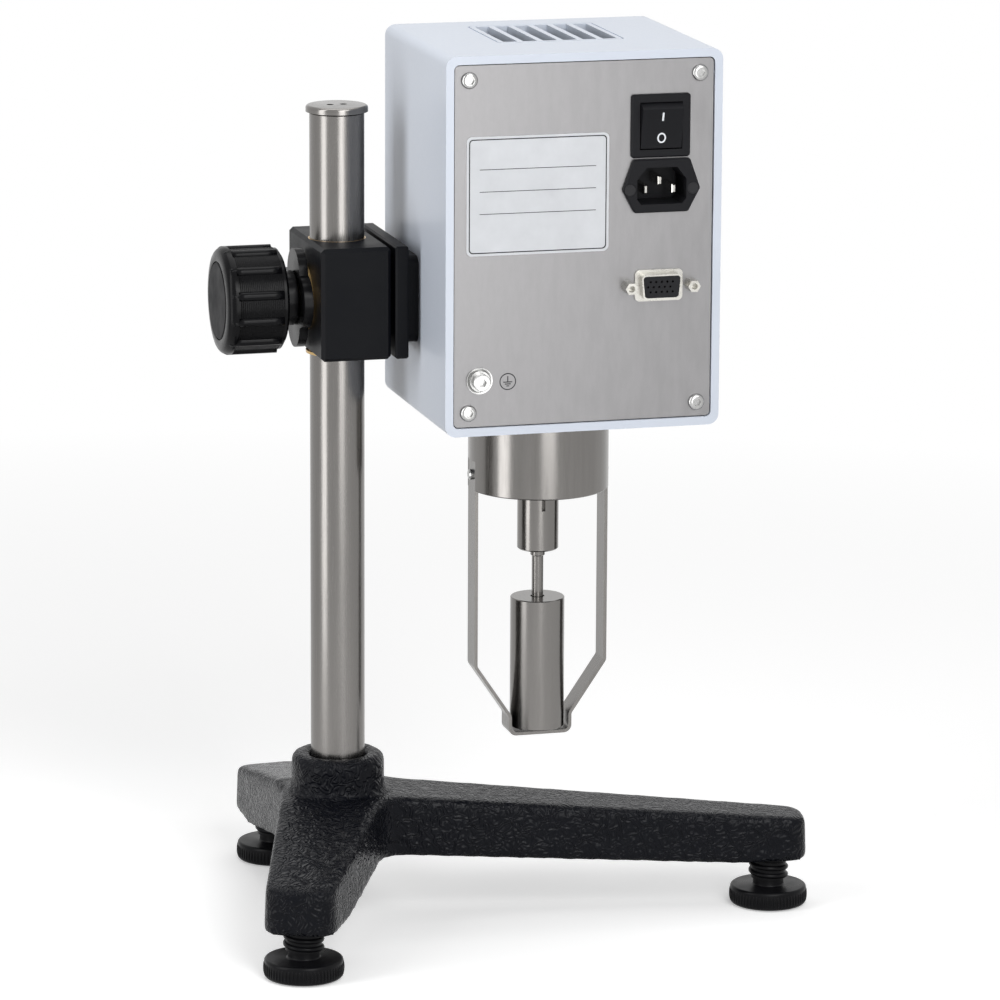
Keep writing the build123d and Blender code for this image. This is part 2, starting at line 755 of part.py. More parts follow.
def rear_panel():
    y0, y1 = panel_face_y, panel_back_y
    panel = prism_y(RectangleRounded(panel_w, panel_h, 2.0), y0, y1, head_x, house_mid_z)
    for x, z in panel_screw_places():
        panel -= rod_y(panel_screw_dia / 2 + screw_gap, y0, y1, x, z)
    x, z = panel_xz(switch_at)
    panel -= prism_y(Rectangle(switch_w - 4, switch_h - 4), y0, y1, x, z)
    x, z = panel_xz(inlet_at)
    panel -= prism_y(inlet_mouth(inlet_body_wall + screw_gap), y0, y1, x, z)
    for side in (-1, 1):
        panel -= rod_y(inlet_screw_dia / 2, y0, y1, x + side * inlet_screw_pitch / 2, z - inlet_tip_drop)
    x, z = panel_xz(serial_at)
    panel -= prism_y(serial_outline(screw_gap), y0, y1, x, z)
    for side in (-1, 1):
        panel -= rod_y(serial_thread_dia / 2 + screw_gap, y0, y1, x + side * serial_screw_pitch / 2, z)
    x, z = panel_xz(earth_at)
    panel -= rod_y(earth_screw_dia / 2 + screw_gap, y0, y1, x, z)
    return panel


def button_screw(head_dia, head_len, screw_dia, screw_len):
    """Domed socket screw along +Y with its head towards the rear, head seat at y = 0."""
    head = fillet(rod_y(head_dia / 2, -head_len, 0).edges().group_by(Axis.Y)[0], head_len * 0.7)
    key = Pos(0, -head_len, 0) * Rot(-90, 0, 0) * extrude(RegularPolygon(head_dia * 0.26, 6), head_len * 0.6)
    return (head - key) + rod_y(screw_dia / 2, 0, screw_len)


def rear_panel_screws():
    screw = button_screw(panel_screw_head_dia, panel_screw_head_len, panel_screw_dia,
                         screw_post_len - 3)
    return Compound(children=[Pos(x, panel_face_y, z) * screw for x, z in panel_screw_places()])


def switch_bezel():
    x, z = panel_xz(switch_at)
    y0 = panel_face_y - switch_lip
    lip = prism_y(RectangleRounded(switch_w, switch_h, switch_radius), y0, panel_face_y)
    lip = chamfer(lip.edges().group_by(Axis.Y)[0], 0.7)
    body = prism_y(Rectangle(switch_w - 4.5, switch_h - 4.5), panel_face_y, panel_face_y + switch_depth)
    hole_w, hole_h = rocker_w + 2 * rocker_side_gap, 2 * (rocker_r + rocker_end_gap)
    well = prism_y(Rectangle(hole_w, hole_h), y0, panel_face_y + switch_depth - 1.5)
    return Pos(x, 0, z) * (lip + body - well)


def switch_rocker():
    """Rocker in its off position: upper end raised, lower end level with the bezel."""
    x, z = panel_xz(switch_at)
    upper = (-rocker_raised, sqrt(rocker_r ** 2 - rocker_raised ** 2))
    lower = (-rocker_pressed, -sqrt(rocker_r ** 2 - rocker_pressed ** 2))
    tilt = atan2(-upper[1] - lower[1], -upper[0] - lower[0])
    waist = (-rocker_waist * cos(tilt), -rocker_waist * sin(tilt))
    over = 1.3
    side = make_face(Polyline(
        waist, (waist[0] + (upper[0] - waist[0]) * over, waist[1] + (upper[1] - waist[1]) * over),
        (rocker_pressed, rocker_r * over), (rocker_back, rocker_back_half), (rocker_back, -rocker_back_half),
        (rocker_pressed, -rocker_r * over),
        (waist[0] + (lower[0] - waist[0]) * over, waist[1] + (lower[1] - waist[1]) * over), close=True))
    side &= Circle(rocker_r)
    y = panel_face_y - switch_lip + rocker_pivot_deep
    return Pos(x, y, z) * extrude(Plane.YZ * side, rocker_w / 2, both=True)


def power_inlet():
    x, z = panel_xz(inlet_at)
    y0 = panel_face_y - inlet_flange
    y2 = y0 + inlet_mouth_deep
    flange = prism_y(inlet_outline(), y0, panel_face_y)
    flange = chamfer(flange.edges().group_by(Axis.Y)[0], 0.6)
    body = prism_y(inlet_mouth(inlet_body_wall), panel_face_y, y2 + inlet_body_wall)
    shell = flange + body - prism_y(inlet_mouth(), y0, y2)
    for side in (-1, 1):
        px, pz = side * inlet_screw_pitch / 2, -inlet_tip_drop
        shell -= rod_y(inlet_screw_dia / 2, y0, panel_face_y, px, pz)
        shell -= rod_y(inlet_screw_head_dia / 2 + screw_gap / 2, y0, y0 + 1.2, px, pz)
    for px, pz in inlet_pin_places():
        shell -= slab(px - inlet_pin[0] / 2, px + inlet_pin[0] / 2, y2, y2 + inlet_body_wall,
                      pz - inlet_pin[1] / 2, pz + inlet_pin[1] / 2)
    return Pos(x, 0, z) * shell


def inlet_pin_places():
    low = -inlet_pin_rise / 2
    return [(-inlet_pin_pitch, low), (0.0, low + inlet_pin_rise), (inlet_pin_pitch, low)]


def inlet_pins():
    x, z = panel_xz(inlet_at)
    y0 = panel_face_y - inlet_flange + inlet_pin_short
    y1 = panel_face_y - inlet_flange + inlet_mouth_deep + inlet_body_wall + 8
    pin = slab(-inlet_pin[0] / 2, inlet_pin[0] / 2, y0, y1, -inlet_pin[1] / 2, inlet_pin[1] / 2)
    pin = chamfer(pin.edges().group_by(Axis.Y)[0], 0.5)
    return Compound(children=[Pos(x + px, 0, z + pz) * pin for px, pz in inlet_pin_places()])


def inlet_screws():
    x, z = panel_xz(inlet_at)
    y0 = panel_face_y - inlet_flange
    screw = rod_y(inlet_screw_head_dia / 2, y0 + 0.2, y0 + 1.2) + rod_y(
        inlet_screw_dia / 2 - run_fit, y0 + 1.2, panel_back_y + 3)
    return Compound(children=[Pos(x + s * inlet_screw_pitch / 2, 0, z - inlet_tip_drop) * screw for s in (-1, 1)])


def serial_outline(grow=0.0, shrink=0.0):
    w, h = serial_w / 2 + grow - shrink, serial_h / 2 + grow - shrink
    lean = serial_h / 2 * tan(radians(serial_slant))
    face = make_face(Polyline((-w + lean, -h), (w - lean, -h), (w, h), (-w, h), close=True))
    return fillet(face.vertices(), serial_radius - shrink)


def serial_shell():
    x, z = panel_xz(serial_at)
    bw, bh, bt = serial_base
    y0 = panel_face_y - serial_proud
    shell = prism_y(RectangleRounded(bw, bh, serial_radius), panel_face_y - bt, panel_face_y)
    shell += prism_y(serial_outline(), y0, panel_back_y + 1)
    shell -= prism_y(serial_outline(shrink=serial_wall), y0, panel_back_y + 1)
    return Pos(x, 0, z) * shell


def serial_insert():
    x, z = panel_xz(serial_at)
    y0 = panel_face_y - serial_proud + 0.3
    y1 = panel_back_y + serial_depth
    insert = prism_y(serial_outline(shrink=serial_wall), y0, y1)
    insert -= [rod_y(serial_hole_dia / 2, y0, y0 + 3, px, pz) for px, pz in serial_holes()]
    return Pos(x, 0, z) * insert


def serial_holes():
    places = []
    dx, dz = serial_pitch
    for row, count in enumerate(serial_rows):
        shift = 0.45 * dx if row % 2 else 0.0
        for i in range(count):
            places.append(((i - (count - 1) / 2) * dx - shift, (1 - row) * dz))
    return places


def serial_jacks():
    """Hex jack screws on both sides of the socket, open to the outside."""
    x, z = panel_xz(serial_at)
    y0 = panel_face_y - serial_nut_len
    nut = prism_y(RegularPolygon(serial_nut_af / 2, 6, major_radius=False), y0, panel_face_y)
    nut += rod_y(serial_thread_dia / 2, panel_face_y, panel_back_y + 6)
    nut -= rod_y(serial_thread_dia / 2, y0, y0 + serial_thread_deep)
    return Compound(children=[Pos(x + s * serial_screw_pitch / 2, 0, z) * nut for s in (-1, 1)])


def earth_washers():
    x, z = panel_xz(earth_at)
    y0 = panel_face_y - earth_washer_thick
    hole = rod_y(earth_screw_dia / 2 + screw_gap, y0 - earth_spring_thick, panel_face_y)
    flat = rod_y(earth_washer_dia / 2, y0, panel_face_y) - hole
    spring = rod_y(earth_spring_dia / 2, y0 - earth_spring_thick, y0) - hole
    return Compound(children=[Pos(x, 0, z) * flat, Pos(x, 0, z) * spring])


def earth_screw():
    x, z = panel_xz(earth_at)
    seat = panel_face_y - earth_washer_thick - earth_spring_thick
    screw = Rot(90, 0, 0) * socket_head(earth_head_dia, earth_head_len, earth_head_dia * 0.5)
    screw += rod_y(earth_screw_dia / 2, 0, earth_screw_len)
    return Pos(x, seat, z) * screw


# ---- display side -----------------------------------------------------------------------------

def window_mid_z():
    return house_mid_z + front_h / 2 - window_top - window_h / 2


def key_low_z():
    return house_mid_z - front_h / 2 + key_up


def key_places():
    return [(head_x + (c - (key_cols - 1) / 2) * key_pitch[0], key_low_z() + r * key_pitch[1])
            for r in range(key_rows) for c in range(key_cols)]


def front_panel():
    panel = prism_y(RectangleRounded(front_w - 2 * free_gap, front_h - 2 * free_gap, front_radius),
                    front_back_y, front_face_y, head_x, house_mid_z)
    w, h = window_w - 2 * window_ledge, window_h - 2 * window_ledge
    panel -= prism_y(RectangleRounded(w, h, 2.0), front_back_y, front_face_y, head_x, window_mid_z())
    for x, z in key_places():
        panel -= prism_y(RectangleRounded(key_w - 2 * key_lip + 2 * free_gap, key_h - 2 * key_lip + 2 * free_gap,
                                          key_radius), front_back_y, front_face_y, x, z)
    return panel


def display_window():
    """Clear pane behind the front panel, held by the display module."""
    y1 = front_back_y
    return slab(head_x - window_w / 2 + free_gap, head_x + window_w / 2 - free_gap, y1 - window_thick, y1,
                window_mid_z() - window_h / 2 + free_gap, window_mid_z() + window_h / 2 - free_gap)


def display_module():
    y1 = front_back_y - window_thick
    z = window_mid_z()
    w, h = window_w - 2 * free_gap, window_h - 2 * free_gap
    glass = slab(head_x - w / 2, head_x + w / 2, y1 - module_thick / 2, y1, z - h / 2, z + h / 2)
    rim_x, rim_z = module_rim
    return glass + slab(head_x - w / 2 - rim_x, head_x + w / 2 + rim_x, y1 - module_thick, y1 - module_thick / 2,
                        z - h / 2 - rim_z, z + h / 2 + rim_z)


def key_cap(x, z):
    """One sprung key: a lip behind the front panel keeps it in."""
    y_out = front_face_y + key_proud
    inner = front_back_y - key_lip - free_gap
    key = prism_y(RectangleRounded(key_w - 2 * key_lip, key_h - 2 * key_lip, key_radius), inner, y_out)
    key = chamfer(key.edges().group_by(Axis.Y)[-1], 0.5)
    key += slab(-key_w / 2 + free_gap, key_w / 2 - free_gap, inner, front_back_y - free_gap / 3,
                -key_h / 2 + free_gap, key_h / 2 - free_gap)
    key += rod_y(key_stem / 2, key_board_y() + key_travel + free_gap, inner)
    return Pos(x, 0, z) * key


def key_board_y():
    """Outer face of the key board."""
    return house_y[1] - house_wall - front_thick - key_travel - 1.5


def keys_mid_z():
    return key_low_z() + (key_rows - 1) * key_pitch[1] / 2


def key_board_posts():
    """Short posts behind the front wall that the key board is screwed to."""
    w, h, _ = key_board
    return [(head_x + i * (w - standoff_dia) / 2, keys_mid_z() + j * (h - standoff_dia) / 2)
            for i in (-1, 1) for j in (-1, 1)]


def key_board_plate():
    w, h, t = key_board
    z = keys_mid_z()
    y = key_board_y()
    return slab(head_x - w / 2, head_x + w / 2, y - t, y, z - h / 2, z + h / 2)


# ---- drive and measuring system ---------------------------------------------------------------

def collar():
    z0, z1 = collar_low_z, inner_floor_z()
    r = collar_dia / 2
    cup = chamfer(drum(r, z0, z1).edges().group_by(Axis.Z)[0], collar_edge)
    cup -= drum(r - collar_wall, z0 + collar_floor, z1)
    cup -= drum(collar_mouth_dia / 2, z0, z1)
    for x, y in collar_screw_places():
        cup -= drum(collar_screw_dia / 2, z1 - collar_screw_grip - 1, z1, x, y)
    half = guard_width / 2 + run_fit
    flat = Pos(0, 0, z0 + guard_lap / 2) * Box(2 * r + 2, 2 * half, guard_lap)
    flat -= Pos(0, 0, z0 + guard_lap / 2) * Box(2 * guard_inner, 2 * half, guard_lap)
    cup -= flat
    cup -= rod_x(guard_screw_dia / 2, -r, r, 0, z0 + guard_lap / 2)
    return Pos(head_x, 0, 0) * cup


def inner_floor_z():
    """Inside floor of the housing."""
    return house_mid_z - panel_h / 2 - panel_gap


def collar_screw_places():
    """In the middle of the collar's wall, measured from the spindle axis."""
    return ring_of_points(4, (collar_dia - collar_wall) / 2, 45.0)


def collar_screws():
    z = inner_floor_z() + frame_plate_thick
    screw = Pos(0, 0, z) * socket_head(collar_screw_head_dia, collar_screw_dia, collar_screw_dia * 0.8)
    screw += drum(collar_screw_dia / 2, inner_floor_z() - collar_screw_grip, z)
    return Compound(children=[Pos(head_x + x, y, 0) * screw for x, y in collar_screw_places()])


def frame_plate(y_span, z, hole_r):
    half = head_x - house_inner_x0 - frame_side
    plate = slab(-half, half, *y_span, z, z + frame_plate_thick)
    plate = fillet(plate.edges().filter_by(Axis.Z), frame_plate_corner)
    plate -= drum(hole_r, z, z + frame_plate_thick)
    return plate


def bearing_plate():
    """Plate on the housing floor: it carries the lower jewel, the pillars and, from below, the collar."""
    z = inner_floor_z()
    plate = frame_plate(bearing_plate_y, z, bearing_dia / 2)
    for x, y in collar_screw_places():
        plate -= drum(collar_screw_dia / 2 + screw_gap, z, z + frame_plate_thick, x, y)
    return Pos(head_x, 0, 0) * plate


def frame_pillars():
    z0 = inner_floor_z() + frame_plate_thick
    return Compound(children=[drum(pillar_dia / 2, z0, motor_plate_z, head_x + side * pillar_x, y)
                              for side in (-1, 1) for y in pillar_y])


def motor_plate():
    return Pos(head_x, 0, 0) * frame_plate(motor_plate_y, motor_plate_z, motor_boss_dia / 2 + free_gap)


def drive_motor():
    z = motor_plate_z + frame_plate_thick
    h = motor_w / 2
    motor = chamfer(slab(-h, h, -h, h, z, z + motor_len).edges().filter_by(Axis.Z), motor_edge)
    motor += drum(motor_boss_dia / 2, z - motor_boss_len, z)
    motor -= drum(motor_shaft_dia / 2 + run_fit, z - motor_boss_len, z + motor_len / 2)
    return Pos(head_x, 0, 0) * motor


def hub_top_z_drive():
    return motor_plate_z - 2.0


def drive_hub():
    """Upper slotted disc on the motor shaft. Its post holds the outer end of the hairspring."""
    z1 = hub_top_z_drive()
    z0 = z1 - hub_core_len
    hub = drum(hub_core_dia / 2, z0, z1) + drum(hub_disc_dia / 2, z0, z0 + hub_disc_thick)
    hub += drum(motor_shaft_dia / 2, z1, motor_plate_z + frame_plate_thick + motor_len / 2 - free_gap)
    hub -= drum(pivot_dia / 2 + run_fit, z0, z0 + pivot_bore_len)
    for x, y in ring_of_points(hub_slots, hub_disc_dia / 2 - hub_slot_in):
        hub -= drum(hub_slot_dia / 2, z0, z0 + hub_disc_thick, x, y)
    hub += drum(spring_post_dia / 2, z0 - spring_post_len, z0, spring_post_r)
    return Pos(head_x, 0, 0) * hub


def spring_z():
    return hub_top_z_drive() - hub_core_len - spring_post_len + 0.5


def hairspring():
    """Flat spiral from the pivot's collet out to the drive's post."""
    z = spring_z()
    steps = 60
    outer, inner = [], []
    in_r = (pivot_collet_dia + spring_thick) / 2
    out_r = spring_post_r - (spring_post_dia + spring_thick) / 2
    for i in range(steps + 1):
        a = 2 * pi * spring_turns * i / steps
        r = in_r + (out_r - in_r) * i / steps
        outer.append(((r + spring_thick / 2) * cos(a), (r + spring_thick / 2) * sin(a)))
        inner.append(((r - spring_thick / 2) * cos(a), (r - spring_thick / 2) * sin(a)))
    band = make_face(Polyline(*outer, *reversed(inner), close=True))
    return Pos(head_x, 0, z) * extrude(band, spring_high)


def pivot_shaft():
    """Measuring shaft: upper pivot in the drive hub, collet, lower slotted disc, seat for the holder."""
    z1 = upper_disc_z() + pivot_bore_len - 2 * free_gap
    z0 = holder_top_z - pivot_in_holder
    shaft = drum(pivot_dia / 2, z0, z1)
    shaft += drum(pivot_collet_dia / 2, spring_z() - 1, spring_z() + spring_high + 1)
    disc_z = lower_disc_z()
    disc = drum(pivot_disc_dia / 2, disc_z, disc_z + pivot_disc_thick)
    for x, y in ring_of_points(hub_slots, pivot_disc_dia / 2 - hub_slot_in, pivot_slot_turn):
        disc -= drum(pivot_slot_dia / 2, disc_z, disc_z + pivot_disc_thick, x, y)
    shaft += disc + drum(pivot_collet_dia / 2, disc_z - 2, disc_z)
    return Pos(head_x, 0, 0) * shaft


def jewel_bearing():
    z = inner_floor_z()
    w = bearing_len
    ring = drum(bearing_dia / 2, z + frame_plate_thick - w, z + frame_plate_thick)
    ring += drum(bearing_flange / 2, z + frame_plate_thick, z + frame_plate_thick + 2)
    ring -= drum(pivot_dia / 2 + run_fit, z + frame_plate_thick - w, z + frame_plate_thick + 2)
    return Pos(head_x, 0, 0) * ring


def optical_sensors():
    """Two fork sensors that read the slotted discs, each standing on its own foot."""
    w, d, h = sensor
    z0 = inner_floor_z() + frame_plate_thick
    pair = []
    for turn, disc_r, disc_z in ((0, hub_disc_dia / 2, upper_disc_z() + hub_disc_thick / 2),
                                 (180, pivot_disc_dia / 2, lower_disc_z() + pivot_disc_thick / 2)):
        back = disc_r + free_gap * 2
        fork = slab(disc_r - w / 2, back + w / 2, -d / 2, d / 2, disc_z - h / 2, disc_z + h / 2)
        fork -= slab(disc_r - w / 2, back, -d / 2, d / 2, disc_z - sensor_slot / 2, disc_z + sensor_slot / 2)
        fork += slab(back, back + w / 2, -d / 2, d / 2, z0, disc_z)
        pair.append(Pos(head_x, 0, 0) * Rot(0, 0, turn) * fork)
    return Compound(children=pair)


def upper_disc_z():
    return hub_top_z_drive() - hub_core_len


def lower_disc_z():
    return spring_z() - disc_drop


def spindle_holder():
    z0, z1 = holder_low_z, holder_top_z
    r = holder_dia / 2
    holder = chamfer(drum(r, z0, z1).edges().filter_by(GeomType.CIRCLE), 0.6)
    holder -= drum(pivot_dia / 2, z1 - pivot_in_holder, z1)
    holder -= drum(shaft_dia / 2 - 0.6, z0, z0 + 10)
    holder -= slab(-holder_slot_w / 2, holder_slot_w / 2, -r, -r + 3, holder_slot_low_z, z1)
    return Pos(head_x, 0, 0) * holder


def spindle_nut():
    z1 = holder_low_z
    nut = chamfer(drum(nut2_dia / 2, z1 - nut2_len, z1).edges().group_by(Axis.Z)[0], 0.4)
    return Pos(head_x, 0, 0) * (nut - drum(shaft_dia / 2 - 0.6, z1 - nut2_len, z1))


def spindle():
    """Measuring bob with its stem, screwed up into the holder."""
    z0, z1 = bob_z
    bob = chamfer(drum(bob_dia / 2, z0, z1).edges().filter_by(GeomType.CIRCLE), 0.35)
    bob -= drum(bob_recess_dia / 2, z1 - bob_recess_deep, z1)
    stem = drum(shaft_dia / 2, z1 - bob_recess_deep - 1, holder_low_z - nut2_len)
    stem += drum(shaft_dia / 2 - 0.6, holder_low_z - nut2_len - 1, holder_low_z + 9.5)
    return Pos(head_x, 0, 0) * (bob + stem)


def guard():
    """One bent strip around the bob, its two legs screwed into flats on the collar."""
    mid = guard_inner + guard_thick / 2
    tab = guard_tab_in - guard_thick / 2
    top = collar_low_z + guard_lap
    low = guard_low_z + guard_thick / 2
    centre = FilletPolyline((-mid, top), (-mid, guard_bend_z), (-tab, guard_tab_z), (-tab, low), (tab, low),
                            (tab, guard_tab_z), (mid, guard_bend_z), (mid, top), radius=guard_bend_r)
    strip = extrude(Plane.XZ * trace(centre, guard_thick), guard_width / 2, both=True)
    strip -= rod_x(guard_screw_dia / 2 + screw_gap, -mid - guard_thick, mid + guard_thick, 0,
                   collar_low_z + guard_lap / 2)
    return Pos(head_x, 0, 0) * strip


def guard_screws():
    z = collar_low_z + guard_lap / 2
    x0 = guard_inner + guard_thick
    screw = rod_x(guard_screw_head_dia / 2, x0, x0 + guard_screw_head_len)
    screw = chamfer(screw.edges().group_by(Axis.X)[-1], guard_screw_head_len / 3)
    screw += rod_x(guard_screw_dia / 2, collar_dia / 2 - collar_wall, x0)
    return Compound(children=[Pos(head_x, 0, z) * Rot(0, 0, turn) * screw for turn in (0, 180)])


# ---- electronics ------------------------------------------------------------------------------

def main_board():
    w, h, t = board
    z = board_mid_z()
    y0 = board_y()
    return slab(head_x - w / 2, head_x + w / 2, y0, y0 + t, z - h / 2, z + h / 2)


def board_mid_z():
    return house_z[1] - board_down - board[1] / 2


def board_y():
    return display_back_y() - standoff_len - board[2]


def display_back_y():
    return front_back_y - window_thick - module_thick


def board_standoffs():
    w, h, t = board
    y0 = board_y() + t
    dx, dz = w / 2 - standoff_in, h / 2 - standoff_in
    return Compound(children=[rod_y(standoff_dia / 2, y0, display_back_y(), head_x + i * dx, board_mid_z() + j * dz)
                              for i in (-1, 1) for j in (-1, 1)])


def power_supply():
    w, h, d = supply
    x = house_x[0] + supply_in
    y0 = motor_plate_y[0] + 1
    z = motor_plate_z + frame_plate_thick
    case = slab(x, x + w, y0, y0 + d, z, z + h)
    return chamfer(case.edges().filter_by(Axis.Z), 1.5)


def build():
    save(base_casting(), "base_casting")
    save(column_rod(), "column_rod")
    save(column_cap(), "column_cap")
    save(column_bolt(), "column_bolt")
    for name, (x, y) in zip(("long", "rear_side", "front_side"), foot_places()):
        save(foot_screw(x, y), f"foot_screw_{name}")
        save(foot_pad(x, y), f"foot_pad_{name}")
    pieces = {
        "height_bush": height_bush, "clamp_block": clamp_block, "mount_plate": mount_plate,
        "mount_screws": mount_screws,
        "clamp_knob": clamp_knob, "knob_cap": knob_cap, "clamp_stud": clamp_stud, "thrust_pad": thrust_pad,
        "clamp_nut": clamp_nut, "lock_ring": lock_ring, "housing_shell": housing_shell,
        "rear_panel": rear_panel, "rear_panel_screws": rear_panel_screws,
        "switch_bezel": switch_bezel, "switch_rocker": switch_rocker, "power_inlet": power_inlet,
        "inlet_pins": inlet_pins, "inlet_screws": inlet_screws, "serial_shell": serial_shell,
        "serial_insert": serial_insert, "serial_jacks": serial_jacks, "earth_washers": earth_washers,
        "earth_screw": earth_screw, "front_panel": front_panel, "display_window": display_window,
        "display_module": display_module, "key_board": key_board_plate, "collar": collar,
        "collar_screws": collar_screws, "bearing_plate": bearing_plate, "frame_pillars": frame_pillars,
        "motor_plate": motor_plate, "drive_motor": drive_motor, "drive_hub": drive_hub,
        "hairspring": hairspring, "pivot_shaft": pivot_shaft,
        "jewel_bearing": jewel_bearing, "optical_sensors": optical_sensors, "spindle_holder": spindle_holder,
        "spindle_nut": spindle_nut, "spindle": spindle, "guard": guard, "guard_screws": guard_screws,
        "main_board": main_board, "board_standoffs": board_standoffs, "power_supply": power_supply,
    }
    for node, make in pieces.items():
        save(make(), node)
    for i, (x, z) in enumerate(key_places()):
        save(key_cap(x, z), f"key_{i + 1}")


os.makedirs("parts", exist_ok=True)
build()
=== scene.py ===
import bpy
import bmesh
import json
from math import cos, sin, pi, radians
from mathutils import Euler, Matrix, Vector

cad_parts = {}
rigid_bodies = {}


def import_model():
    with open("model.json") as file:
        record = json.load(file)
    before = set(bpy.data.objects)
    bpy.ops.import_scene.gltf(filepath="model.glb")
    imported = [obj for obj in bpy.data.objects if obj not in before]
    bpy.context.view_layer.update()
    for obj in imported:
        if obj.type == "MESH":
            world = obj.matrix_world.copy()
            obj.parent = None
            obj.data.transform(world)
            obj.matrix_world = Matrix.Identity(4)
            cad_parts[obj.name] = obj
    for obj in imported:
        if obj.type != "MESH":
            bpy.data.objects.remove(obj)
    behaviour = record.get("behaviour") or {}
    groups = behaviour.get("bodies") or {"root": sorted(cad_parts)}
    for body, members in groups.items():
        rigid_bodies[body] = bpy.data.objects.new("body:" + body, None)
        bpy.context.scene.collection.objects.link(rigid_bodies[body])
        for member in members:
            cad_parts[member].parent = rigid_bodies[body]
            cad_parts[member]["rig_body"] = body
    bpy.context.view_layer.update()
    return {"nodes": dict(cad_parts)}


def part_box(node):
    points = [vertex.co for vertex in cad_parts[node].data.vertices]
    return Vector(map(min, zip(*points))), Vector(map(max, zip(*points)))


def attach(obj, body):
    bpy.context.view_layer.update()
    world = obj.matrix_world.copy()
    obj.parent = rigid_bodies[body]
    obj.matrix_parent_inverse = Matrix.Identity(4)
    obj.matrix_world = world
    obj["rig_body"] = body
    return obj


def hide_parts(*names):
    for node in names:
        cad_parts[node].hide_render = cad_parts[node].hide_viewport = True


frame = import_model()
nodes = frame["nodes"]
mm = 0.001
print("frame loaded", len(nodes), "nodes")


# ---- shader maths: a wire is one socket, and plus, minus, times and so on make Math nodes

class Wire:
    def __init__(self, maker, socket):
        self.maker = maker
        self.socket = socket

    def maths(self, kind, *others):
        return self.maker.maths(kind, self, *others)

    def __add__(self, other): return self.maths("ADD", other)
    def __radd__(self, other): return self.maths("ADD", other)
    def __sub__(self, other): return self.maths("SUBTRACT", other)
    def __rsub__(self, other): return self.maker.maths("SUBTRACT", other, self)
    def __mul__(self, other): return self.maths("MULTIPLY", other)
    def __rmul__(self, other): return self.maths("MULTIPLY", other)
    def __truediv__(self, other): return self.maths("DIVIDE", other)
    def __gt__(self, other): return self.maths("GREATER_THAN", other)
    def fold(self): return self.maths("ABSOLUTE")
    def least(self, other): return self.maths("MINIMUM", other)
    def most(self, other): return self.maths("MAXIMUM", other)
    def wave(self): return self.maths("SINE")
    def ramp(self, low, high, a=0.0, b=1.0):   # a at low, b at high, held outside
        return self.maker.node("ShaderNodeMapRange", {"clamp": True}, self, low, high, a, b)


class Maker:   # makes any node: its type, settings first, then socket values or wires
    def node(self, kind, settings=None, *values, out=0, **named):
        made = self.tree.nodes.new(kind)
        for key, value in (settings or {}).items():
            setattr(made, key, value)
        for socket, value in [(made.inputs[i], v) for i, v in enumerate(values)] + \
                             [(made.inputs[k.replace("_", " ")], v) for k, v in named.items()]:
            if isinstance(value, Wire):
                self.tree.links.new(value.socket, socket)
            elif value is not None:
                socket.default_value = value
        return Wire(self, made.outputs[out])

    def maths(self, kind, *values):
        return self.node("ShaderNodeMath", {"operation": kind}, *values)


class Finish(Maker):
    def __init__(self, name, colour, rough, metal=0.0, coat=0.0, specular=0.5):
        self.material = bpy.data.materials.new(name)
        self.material.use_nodes = True
        self.tree = self.material.node_tree
        self.tree.nodes.clear()
        out = self.tree.nodes.new("ShaderNodeOutputMaterial")
        self.shader = self.tree.nodes.new("ShaderNodeBsdfPrincipled")
        self.tree.links.new(self.shader.outputs[0], out.inputs[0])
        self.shader.inputs["Base Color"].default_value = (*colour, 1.0)
        self.shader.inputs["Roughness"].default_value = rough
        self.shader.inputs["Metallic"].default_value = metal
        self.shader.inputs["Coat Weight"].default_value = coat
        self.shader.inputs["Coat Roughness"].default_value = 0.12
        self.shader.inputs["Specular IOR Level"].default_value = specular
        self.material.diffuse_color = (*colour, 1.0)

    def feed(self, socket, wire):
        self.tree.links.new(wire.socket, self.shader.inputs[socket])
        return self

    def place(self, centre=(0, 0, 0), scale=(1, 1, 1)):   # point on the piece, in millimetres
        here = self.node("ShaderNodeTexCoord", out=3)
        size = tuple(1000 * s for s in scale)
        middle = tuple(c * mm for c in centre)
        moved = self.node("ShaderNodeVectorMath", {"operation": "SUBTRACT"}, here, middle)
        return self.node("ShaderNodeMapping", None, moved, None, (0, 0, 0), size)

    def split(self, vector):
        cut = self.tree.nodes.new("ShaderNodeSeparateXYZ")
        self.tree.links.new(vector.socket, cut.inputs[0])
        return [Wire(self, o) for o in cut.outputs]

    def noise(self, at, scale, detail=3.0, rough=0.55, warp=0.0):
        return self.node("ShaderNodeTexNoise", None, at, Scale=scale, Detail=detail, Roughness=rough,
                         Distortion=warp)

    def cells(self, at, scale):   # distance to the edge of a cell
        return self.node("ShaderNodeTexVoronoi", {"feature": "DISTANCE_TO_EDGE"}, at, Scale=scale)

    def mix(self, factor, low, high):
        made = self.tree.nodes.new("ShaderNodeMix")
        made.data_type = "RGBA"
        for index, value in ((0, factor), (6, low), (7, high)):
            if isinstance(value, Wire):
                self.tree.links.new(value.socket, made.inputs[index])
            elif index == 0:
                made.inputs[index].default_value = value
            else:
                made.inputs[index].default_value = (*value, 1.0)
        return Wire(self, made.outputs[2])

    def bump(self, height, strength=0.3, depth=0.1):   # depth in millimetres
        made = self.node("ShaderNodeBump", None, Strength=strength, Distance=depth * mm, Height=height)
        return self.feed("Normal", made)


